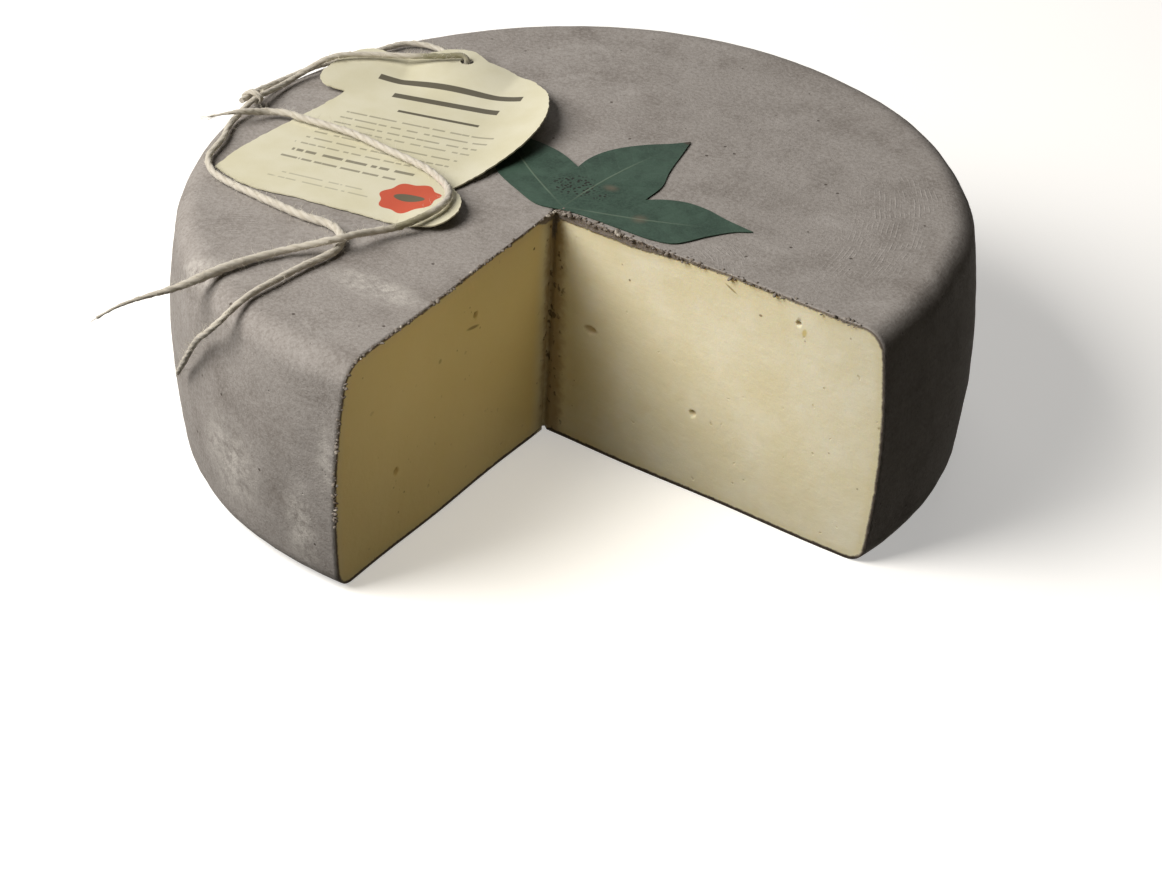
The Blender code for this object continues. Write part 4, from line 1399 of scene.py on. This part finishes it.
# %% Scatter crumbs along the cuts
CRUMB_DENT = 0.9 * MM
CRUMB_DARK = colour(108, 99, 91)
CRUMB_MAIN = colour(138, 130, 122)
CRUMB_PALE = colour(184, 176, 164)
CRUMB_PIT = colour(92, 82, 74)

crumbler = Grower("Crumbs along an edge", count=120, smallest=0.2 * MM, largest=0.9 * MM,
                  crowding=1.8, spread=1.2 * MM, paleness=0.0, seed=5)


def build_crumbler(tree):
    path = tree.node("GeometryNodeMeshToCurve", values={0: tree.given("Geometry")})
    spots = tree.node("GeometryNodePoints", values={0: tree.given("count")})
    seed = tree.given("seed")
    share = tree.random(0.0, 1.0, seed) ** tree.given("crowding")
    edge = tree.node("GeometryNodeSampleCurve", {"mode": "FACTOR"}, {0: path, 2: share}).output("Position")
    aside = tree.random((-1, -1, -0.9), (1, 1, 0.25), seed + 1, "FLOAT_VECTOR") * tree.given("spread")
    spots = tree.node("GeometryNodeSetPosition", values={0: spots, 2: edge + aside})
    lump = tree.node("GeometryNodeMeshIcoSphere", values={"Radius": 1, "Subdivisions": 2})
    large = tree.random(0.0, 1.0, seed + 2) ** 2.5
    size = tree.given("smallest") + large * (tree.given("largest") - tree.given("smallest"))
    stretch = tree.random((0.7, 0.7, 0.35), (1.6, 1.2, 0.7), seed + 3, "FLOAT_VECTOR") * size
    turn = tree.node("FunctionNodeEulerToRotation", values={
        0: tree.random((-0.5, -0.5, 0), (0.5, 0.5, math.tau), seed + 4, "FLOAT_VECTOR")})
    crumbs = tree.node("GeometryNodeInstanceOnPoints", values={0: spots, 2: lump, 5: turn, 6: stretch})
    shade = tree.random(0.0, 1.0, seed + 5) + tree.given("paleness")
    crumbs = tree.store(crumbs, "shade", shade, domain="INSTANCE")
    crumbs = tree.node("GeometryNodeRealizeInstances", values={0: crumbs})
    place = tree.node("GeometryNodeInputPosition")
    dents = (tree.noise(place, CRUMB_DENT, detail=2) - 0.5) * CRUMB_DENT
    tree.close(tree.raised(crumbs, dents))


build_crumbler(crumbler)


def crumb_finish():
    crumb = Finish("torn_rind_crumbs", Specular_IOR_Level=0.25)
    shade = crumb.attribute("shade")
    fine = crumb.noise(crumb.place, 0.7 * MM, detail=3)
    tint = crumb.layers(
        crumb.mix(crumb.ramp(0.2, 0.6, shade), CRUMB_DARK, CRUMB_MAIN),
        (crumb.ramp(0.9, 0.97, shade), 1, CRUMB_PALE),
        (crumb.ramp(0.55, 0.35, fine), 0.3, CRUMB_PIT))
    return crumb.show(tint, 0.9, fine, 0.25 * MM)


torn_rind = crumb_finish()


def crumbs_along(name, side, low, high, **sizes):
    """Crumbs on a cut's edge between two shares of its top; past 1 it goes on down the wheel's side."""
    chosen = edges[side][round(low * TOP_STEPS):round(high * TOP_STEPS)]
    crumbs = thread(name, [[place for _, place in chosen]])
    crumbler.grow(crumbs, torn_rind, **sizes)
    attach(crumbs, "root")
    return crumbs


right_crumbs = crumbs_along("crumbs_right_cut", RIGHT, 0.02, 1.0, count=420, seed=5, crowding=2.4)
left_crumbs = crumbs_along("crumbs_left_cut", LEFT, 0.02, 1.6, count=260, seed=15, crowding=1.0,
                           largest=0.85 * MM, spread=0.5 * MM)
apex_crumbs = crumbs_along("crumbs_apex", LEFT, 0.0, 0.04, count=9, seed=27, crowding=1.0,
                           smallest=0.5 * MM, largest=1.1 * MM, spread=1.6 * MM, paleness=0.5)
print("crumbs:", sum(count_of(crumbs) for crumbs in (right_crumbs, left_crumbs, apex_crumbs)), "triangles")

# %% [markdown]
# ## The paper tag
# A die-cut card of cream paper: it lies on the rind, its right side curls up, its lower lobe stands
# by itself and a twine under it makes a soft ridge. Its outline is a few smooth runs that meet at
# the corners, with every point a hair off its place, because the edge is worn. The sheet is filled
# with even triangles, every point is lifted to the curl's height, and Solidify gives it a card's
# thickness.

# %% The tag's outline and height
REST_GAP = 0.5 * MM
TAG_THICKNESS = 0.5 * MM
TAG_CELL = 1.5 * MM
TAG_RAGGED = 0.22 * MM
TAG_SEED = 41
TAG_HOLE = Vector((-83.4, 47.8)) * MM
TAG_HOLE_RADIUS = 2.4 * MM
TAG_HOLE_SIDES = 24
TAG_RUNS = [
    [(-108.6, 36.3), (-99, 44), (-93.5, 52), (-86, 55.6), (-78.4, 53), (-68.6, 54), (-57.6, 51.9),
     (-47.2, 45.8), (-40.4, 39), (-34, 29.5), (-30.5, 21.5), (-28.5, 10.5), (-29, 0), (-30, -9),
     (-32.4, -24)],
    [(-32.4, -24), (-27, -27.5), (-21.8, -32.7), (-18.3, -38), (-17.2, -44.2), (-19.5, -49.3),
     (-24.4, -52), (-31, -54), (-41, -55.7), (-67.7, -60.2), (-86, -63.8), (-97, -62.8),
     (-105, -60.4)],
    [(-105, -60.4), (-106.7, -47.5), (-106.8, -36.7), (-105.7, -14), (-105.5, 8)],
    [(-105.5, 8), (-113.5, 5.8), (-117.6, 8.3), (-119.2, 14), (-119.8, 21), (-119.8, 28),
     (-117.6, 33.4), (-113.6, 35.9), (-108.6, 36.3)],
]
CURL_START = Vector((-33, -30)) * MM
CURL_END = Vector((-75, 60)) * MM
CURL_RADIUS = 46 * MM
LOBE_CENTRE = Vector((-21, -40)) * MM
LOBE_LIFT = 2.2 * MM
LOBE_REACH = (4 * MM, 20 * MM)
RIDGE_LIFT = 3.2 * MM
RIDGE_REACH = (3.5 * MM, 27 * MM)


def outline_of(runs, cell):
    """A closed outline through smooth runs given in millimetres, each starting where the last ends."""
    outline = []
    for run in runs:
        outline += smooth_curve([(x * MM, y * MM) for x, y in run], cell)[:-1]
    return outline


def ragged(outline, depth, seed):
    """The same outline with every point a little off its place, as a worn edge is."""
    draw = random.Random(seed)
    return [point + Vector([draw.uniform(-depth, depth) for _ in "xy"]) for point in outline]


def beside_path(x, y, path):
    """How far along a path the nearest point of it lies, and how far to its left this place is."""
    here = Vector((x, y))
    best, run = (0, math.inf), 0
    for start, end in zip(path, path[1:]):
        along = end - start
        share = min(max((here - start).dot(along) / along.length_squared, 0), 1)
        gap = here - start - along * share
        if gap.length < abs(best[1]):
            left = along.x * gap.y - along.y * gap.x
            best = (run + share * along.length, math.copysign(gap.length, left))
        run += along.length
    return best


twine_below = [Vector((x, y)) * MM for x, y, _ in UNDER_TAG]


def tag_height(x, y):
    """The height of the tag's middle surface."""
    fold = (CURL_END - CURL_START).normalized()
    beyond = max((x - CURL_START.x) * fold.y - (y - CURL_START.y) * fold.x, 0)
    curl = beyond**2 / (2 * CURL_RADIUS)
    ridge = RIDGE_LIFT * (1 - smooth_step(*RIDGE_REACH, abs(beside_path(x, y, twine_below)[1])))
    lobe = LOBE_LIFT * (1 - smooth_step(*LOBE_REACH, (Vector((x, y)) - LOBE_CENTRE).length))
    rest = WHEEL_HEIGHT + unevenness(x, y) + REST_GAP + TAG_THICKNESS / 2
    return rest + max(curl, ridge) + lobe


print("the tag's lower lobe stands", round((tag_height(*LOBE_CENTRE) - WHEEL_HEIGHT) / MM, 1),
      "mm above the rind")

# %% [markdown]
# ## What is printed on it
# The tag keeps the look of a printed label without any words: bars where its title stands, thin
# broken lines for the small print, and a red seal with lobes. They sit on the tag's own print map,
# whose rows fan out a little from the left, as they do on the curled card.

# %% Print map and layout
PRINT_MIDDLE = Vector((-72, -10)) * MM
PRINT_TILT = math.radians(15.3)
PRINT_FAN = 800 * MM
# Title bars: height on the map, start, end and thickness, in millimetres
TITLE_BARS = [(41, -20, 33, 3.2), (31, -11, 28, 3.2), (20.5, -5, 25, 1.5)]
# Rows of small print: the same, and the strength of their ink
SMALL_PRINT = [(13.0, -21, 34, 1.0, 0.5), (8.6, -21.5, 33, 1.0, 0.5), (4.4, -22, 31, 1.0, 0.5),
               (0.4, -22, 30, 1.0, 0.45), (-5, -25, 28, 1.0, 0.5), (-9.6, -26, 27, 1.0, 0.5),
               (-14.2, -28, 15, 1.0, 0.5), (-19.5, -26.5, 19, 1.7, 0.75), (-25, -28, 16, 1.3, 0.65),
               (-36, -22, 8, 0.8, 0.35), (-39.8, -27, 12, 0.8, 0.35)]
SEAL_CENTRE = (25, -35)
SEAL_RADIUS = 10.0
SEAL_LOBES = 7
SEAL_LOBE_DEPTH = 0.7
SEAL_MIDDLE = (5.6, 2.5)
EDGE_BLUR = 0.12 * MM
# How often the small print breaks in a metre, and how far apart in that noise the rows start
WORDS_ALONG = 330
ROW_STRIDE = 13.7
CARD_CREAM = colour(207, 202, 175)
CARD_PALE = colour(214, 210, 188)
CARD_FIBRE = colour(186, 178, 144)
CARD_INK = colour(66, 60, 48)
SEAL_RED = colour(192, 84, 60)
SEAL_GREY = colour(98, 92, 74)


def print_place(x, y):
    """Where a place of the tag lies on its print map, in metres along and across the rows."""
    hub = PRINT_MIDDLE - Vector((math.cos(PRINT_TILT), math.sin(PRINT_TILT))) * PRINT_FAN
    arm = Vector((x, y)) - hub
    return (arm.length - PRINT_FAN, PRINT_FAN * (math.atan2(arm.y, arm.x) - PRINT_TILT))


def card_finish(printed):
    """The card's finish: printed for its face, plain for its back and rim."""
    card = Finish("tag_card_printed" if printed else "tag_card_plain", Specular_IOR_Level=0.3)
    clouds = card.noise(card.place, 16 * MM, detail=3)
    fibre = card.noise(card.place, 0.5 * MM, detail=3)
    tint = card.mix(card.ramp(0.3, 0.7, clouds), CARD_CREAM, CARD_PALE)
    tint = card.mix(fibre * 0.2, tint, CARD_FIBRE)
    if not printed:
        return card.show(tint, 0.75, fibre, 0.05 * MM)
    along, up, _ = card.axes(card.node("ShaderNodeUVMap", {"uv_map": "print"}))

    def within(reach, distance):
        """1 where the distance is shorter than the reach in millimetres, with a slightly soft edge."""
        return card.ramp(reach * MM + EDGE_BLUR, reach * MM - EDGE_BLUR, distance)

    def bar(row, start, end, thickness):
        lengthwise = within((end - start) / 2, abs(along - (start + end) / 2 * MM))
        return within(thickness / 2, abs(up - row * MM)) * lengthwise

    ink = 0
    for row in TITLE_BARS:
        ink = bar(*row) + ink
    for index, (*row, strength) in enumerate(SMALL_PRINT):
        words = card.node("ShaderNodeTexNoise", {"noise_dimensions": "1D"},
                          {"W": along * WORDS_ALONG + index * ROW_STRIDE, "Scale": 1, "Detail": 1})
        ink = ink + bar(*row) * card.ramp(0.4, 0.44, words) * strength
    # The seal: a lobed disc with a grey oval in its middle
    side, rise = along - SEAL_CENTRE[0] * MM, up - SEAL_CENTRE[1] * MM
    away = (side * side + rise * rise).maths("SQRT")
    lobes = (rise.maths("ARCTAN2", side) * SEAL_LOBES).maths("COSINE") * (SEAL_LOBE_DEPTH * MM)
    wide, high = side / (SEAL_MIDDLE[0] * MM), rise / (SEAL_MIDDLE[1] * MM)
    oval = card.ramp(1.05, 0.95, (wide * wide + high * high).maths("SQRT"))
    tint = card.layers(
        tint,
        (ink, 0.9, CARD_INK),
        (within(SEAL_RADIUS, away + lobes), 1, SEAL_RED),
        (oval, 1, SEAL_GREY))
    return card.show(tint, 0.72, fibre, 0.05 * MM)


printed_card, plain_card = card_finish(True), card_finish(False)
print("small print rows:", len(SMALL_PRINT))


# %% [markdown]
# ## Thin sheets
# The tag and the leaf are made the same way, so one function serves both: it fills the outline with
# even triangles, lifts each point to its height and adds Solidify. The edges round the face are
# marked sharp, which keeps a thin rim crisp while the curled face still shades smoothly.

# %% Sheets with a thickness
SHARP_ANGLE = math.radians(50)


def thin_sheet(name, outline, holes, cell, height_at, thickness, finishes):
    """A sheet inside the outline and outside the holes. The last finish is for its back and rim."""
    flat, faces = triangulate([outline] + holes, [], cell)
    faces = [face for face in faces if inside(middle_of(flat, face), outline)]
    sheet = new_piece(name, [(x, y, height_at(x, y)) for x, y in flat], faces=faces)
    for finish in finishes:
        sheet.data.materials.append(finish)
    solidify = sheet.modifiers.new("Thickness", "SOLIDIFY")
    solidify.thickness = thickness
    solidify.offset = 0
    solidify.material_offset = solidify.material_offset_rim = len(finishes) - 1
    drop_loose_points(sheet.data)
    return sheet


def drop_loose_points(mesh):
    bm = bmesh.new()
    bm.from_mesh(mesh)
    bmesh.ops.delete(bm, geom=[vert for vert in bm.verts if not vert.link_faces], context="VERTS")
    bm.to_mesh(mesh)
    bm.free()


def keep_sheet(sheet):
    """Keeps the thickness and shades the faces smooth, with sharp edges round them."""
    keep_result(sheet)
    sheet.data.shade_smooth()
    sheet.data.set_sharp_from_angle(angle=SHARP_ANGLE)


print("sheets can now be cut to an outline")


# %% Build the tag
def build_tag():
    hole = []
    for step in range(TAG_HOLE_SIDES):
        angle = math.tau * step / TAG_HOLE_SIDES
        hole.append(TAG_HOLE + Vector((math.cos(angle), math.sin(angle))) * TAG_HOLE_RADIUS)
    outline = ragged(outline_of(TAG_RUNS, TAG_CELL), TAG_RAGGED, TAG_SEED)
    tag = thin_sheet("tag_card", outline, [hole], TAG_CELL, tag_height, TAG_THICKNESS,
                     [printed_card, plain_card])
    print_map = tag.data.uv_layers.new(name="print")
    for loop in tag.data.loops:
        x, y, _ = tag.data.vertices[loop.vertex_index].co
        print_map.uv[loop.index].vector = print_place(x, y)
    keep_sheet(tag)
    return tag


tag = build_tag()
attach(tag, "root")
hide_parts("label_tag")
print("tag:", count_of(tag), "triangles")

# %% [markdown]
# ## The leaf
# One dark blue-green leaf of three lobes lies by the apex, its left tip under the tag. Thin leaves
# read by their veins, so every face keeps a small vein map: how far along its lobe's midrib it lies
# and how far beside it. The finish draws the midrib and the slanting side veins from those two numbers.

# %% The leaf's outline and height
LEAF_THICKNESS = 0.3 * MM
LEAF_GAP = 0.12 * MM
LEAF_CELL = 1.5 * MM
LEAF_RUNS = [
    [(3.1, -12.6), (-4.3, -14.4), (-15.1, -10.8), (-30.3, -3.2), (-38.8, 6.6), (-44, 20)],
    [(-44, 20), (-35, 21.6), (-26.1, 20.8), (-18.4, 18.7), (-9.2, 14.4)],
    [(-9.2, 14.4), (-9.9, 20.4), (-9, 27.6), (-5.9, 34.8), (-0.3, 42), (5.4, 47.5), (9.8, 53)],
    [(9.8, 53), (12.6, 44.5), (17.4, 29.7), (21.3, 20.3), (22.1, 9.7)],
    [(22.1, 9.7), (26.9, 13.7), (33.9, 17), (42, 17.6), (49.7, 16.3), (61.8, 15)],
    [(61.8, 15), (57, 11.1), (52.4, 4), (46.2, -7.6), (39.3, -9.9), (30.3, -10.4), (16.6, -10.7),
     (9.4, -11.3), (3.1, -12.6)],
]
LEAF_BASE = Vector((3.5, -10.8)) * MM
LEAF_MIDRIBS = [(Vector((-44, 20)) * MM, 1.5 * MM), (Vector((9.8, 53)) * MM, 2.5 * MM),
                (Vector((61.8, 15)) * MM, -1.5 * MM)]
MIDRIB_STEPS = 16
LEAF_WAVE = 0.12 * MM
LEAF_EDGE_LIFT = 0.12 * MM
LEAF_HALF_WIDTH = 16 * MM
# The leaf lies flat left of the first of these places in X, and free right of the second
LEAF_UNDER_TAG = (-40 * MM, -22 * MM)


def midrib(tip, bow):
    """Points along a lobe's midrib, from the leaf's base to the lobe's tip."""
    reach = tip - LEAF_BASE
    across = Vector((-reach.y, reach.x)).normalized()
    shares = [step / MIDRIB_STEPS for step in range(MIDRIB_STEPS + 1)]
    return [LEAF_BASE + reach * share + across * bow * math.sin(math.pi * share) for share in shares]


midribs = [midrib(tip, bow) for tip, bow in LEAF_MIDRIBS]


def leaf_height(x, y):
    """The height of the leaf's middle surface: low along each midrib, with its free edges a little up."""
    nearest = min(abs(beside_path(x, y, rib)[1]) for rib in midribs)
    edge = LEAF_EDGE_LIFT * smooth_step(0, LEAF_HALF_WIDTH, nearest)
    wave = LEAF_WAVE * (0.5 + 0.5 * math.sin(150 * x + 1.2) * math.cos(120 * y + 0.3))
    free = smooth_step(*LEAF_UNDER_TAG, x)
    return WHEEL_HEIGHT + unevenness(x, y) + LEAF_GAP + LEAF_THICKNESS / 2 + (edge + wave) * free


print("midribs:", [round(length_of(rib) / MM) for rib in midribs], "mm")

# %% The leaf's finish
VEIN_SPACING = 7 * MM
VEIN_SLANT = 0.75
LEAF_DARK = colour(40, 61, 50)
LEAF_MAIN = colour(59, 82, 69)
LEAF_BLOOM = colour(68, 92, 79)
LEAF_SIDE_VEIN = colour(84, 106, 92)
LEAF_RIB = colour(122, 138, 118)
LEAF_RUST = colour(118, 98, 82)
LEAF_SPECK = colour(24, 20, 15)
LEAF_DRY_TIP = colour(62, 48, 38)


def leaf_finish():
    leaf = Finish("leaf_blade", Specular_IOR_Level=0.3)
    along, beside, _ = leaf.axes(leaf.node("ShaderNodeUVMap", {"uv_map": "veins"}))
    off = abs(beside)
    wobble = (leaf.noise(leaf.place, 5 * MM, detail=2) - 0.5) * (2 * MM)
    thin_rib = leaf.ramp(0.5 * MM, 0.15 * MM, off) * leaf.ramp(50 * MM, 30 * MM, along)
    thin_rib = thin_rib * (leaf.ramp(4 * MM, 14 * MM, along) * 0.7 + 0.3)
    slanted = (along - off * VEIN_SLANT + wobble) / VEIN_SPACING
    stripe = abs((slanted % 1) - 0.5)
    side_veins = leaf.ramp(0.04, 0.015, stripe) * leaf.ramp(0.2 * MM, 2 * MM, off)
    quilt = leaf.ramp(0, 0.3, stripe) * leaf.ramp(0, 3 * MM, off)
    clouds = leaf.noise(leaf.place, 9 * MM, detail=4, roughness=0.6)
    fine = leaf.noise(leaf.place, 0.9 * MM, detail=3, roughness=0.7)
    off_middle, _ = leaf.cells(leaf.place, 1.35 * MM)
    speckled = leaf.spot((-2, 3, 87), (11, 9, 6), core=0.5) + leaf.spot((9.5, 2, 87), (3, 4, 6))
    specks = leaf.ramp(0.42, 0.3, off_middle) * speckled
    rusty = leaf.spot((8.5, 9, 87), (4, 3, 6), core=0) + leaf.spot((28, -1.5, 87), (4, 4, 6), core=0)
    tip = leaf.spot((9.8, 53, 87), (3.4, 3.4, 6), core=0.5)
    tint = leaf.layers(
        leaf.mix(leaf.ramp(0.3, 0.7, clouds), LEAF_DARK, LEAF_MAIN),
        (leaf.ramp(0.35, 0.7, fine), 0.55, LEAF_BLOOM),
        (side_veins, 0.12, LEAF_SIDE_VEIN),
        (rusty, 0.45, LEAF_RUST),
        (specks, 1, LEAF_SPECK),
        (thin_rib, 0.38, LEAF_RIB),
        (tip, 0.8, LEAF_DRY_TIP))
    relief = quilt * 0.2 + fine * 0.25 + thin_rib * 0.3
    return leaf.show(tint, 0.62 + fine * 0.1, relief, 0.3 * MM)


blade = leaf_finish()
print("made", blade.name)


# %% Build the leaf
def build_leaf():
    leaf = thin_sheet("leaf_three_lobes", outline_of(LEAF_RUNS, LEAF_CELL), [], LEAF_CELL, leaf_height,
                      LEAF_THICKNESS, [blade])
    vein_map = leaf.data.uv_layers.new(name="veins")
    known = {}

    def veins_at(index, lobe):
        if (index, lobe) not in known:
            x, y, _ = leaf.data.vertices[index].co
            known[index, lobe] = beside_path(x, y, midribs[lobe])
        return known[index, lobe]

    for polygon in leaf.data.polygons:
        x, y, _ = polygon.center
        offs = [abs(beside_path(x, y, rib)[1]) for rib in midribs]
        lobe = offs.index(min(offs))
        for loop in polygon.loop_indices:
            vein_map.uv[loop].vector = veins_at(leaf.data.loops[loop].vertex_index, lobe)
    keep_sheet(leaf)
    return leaf


leaf = build_leaf()
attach(leaf, "root")
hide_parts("leaf")
print("leaf:", count_of(leaf), "triangles")
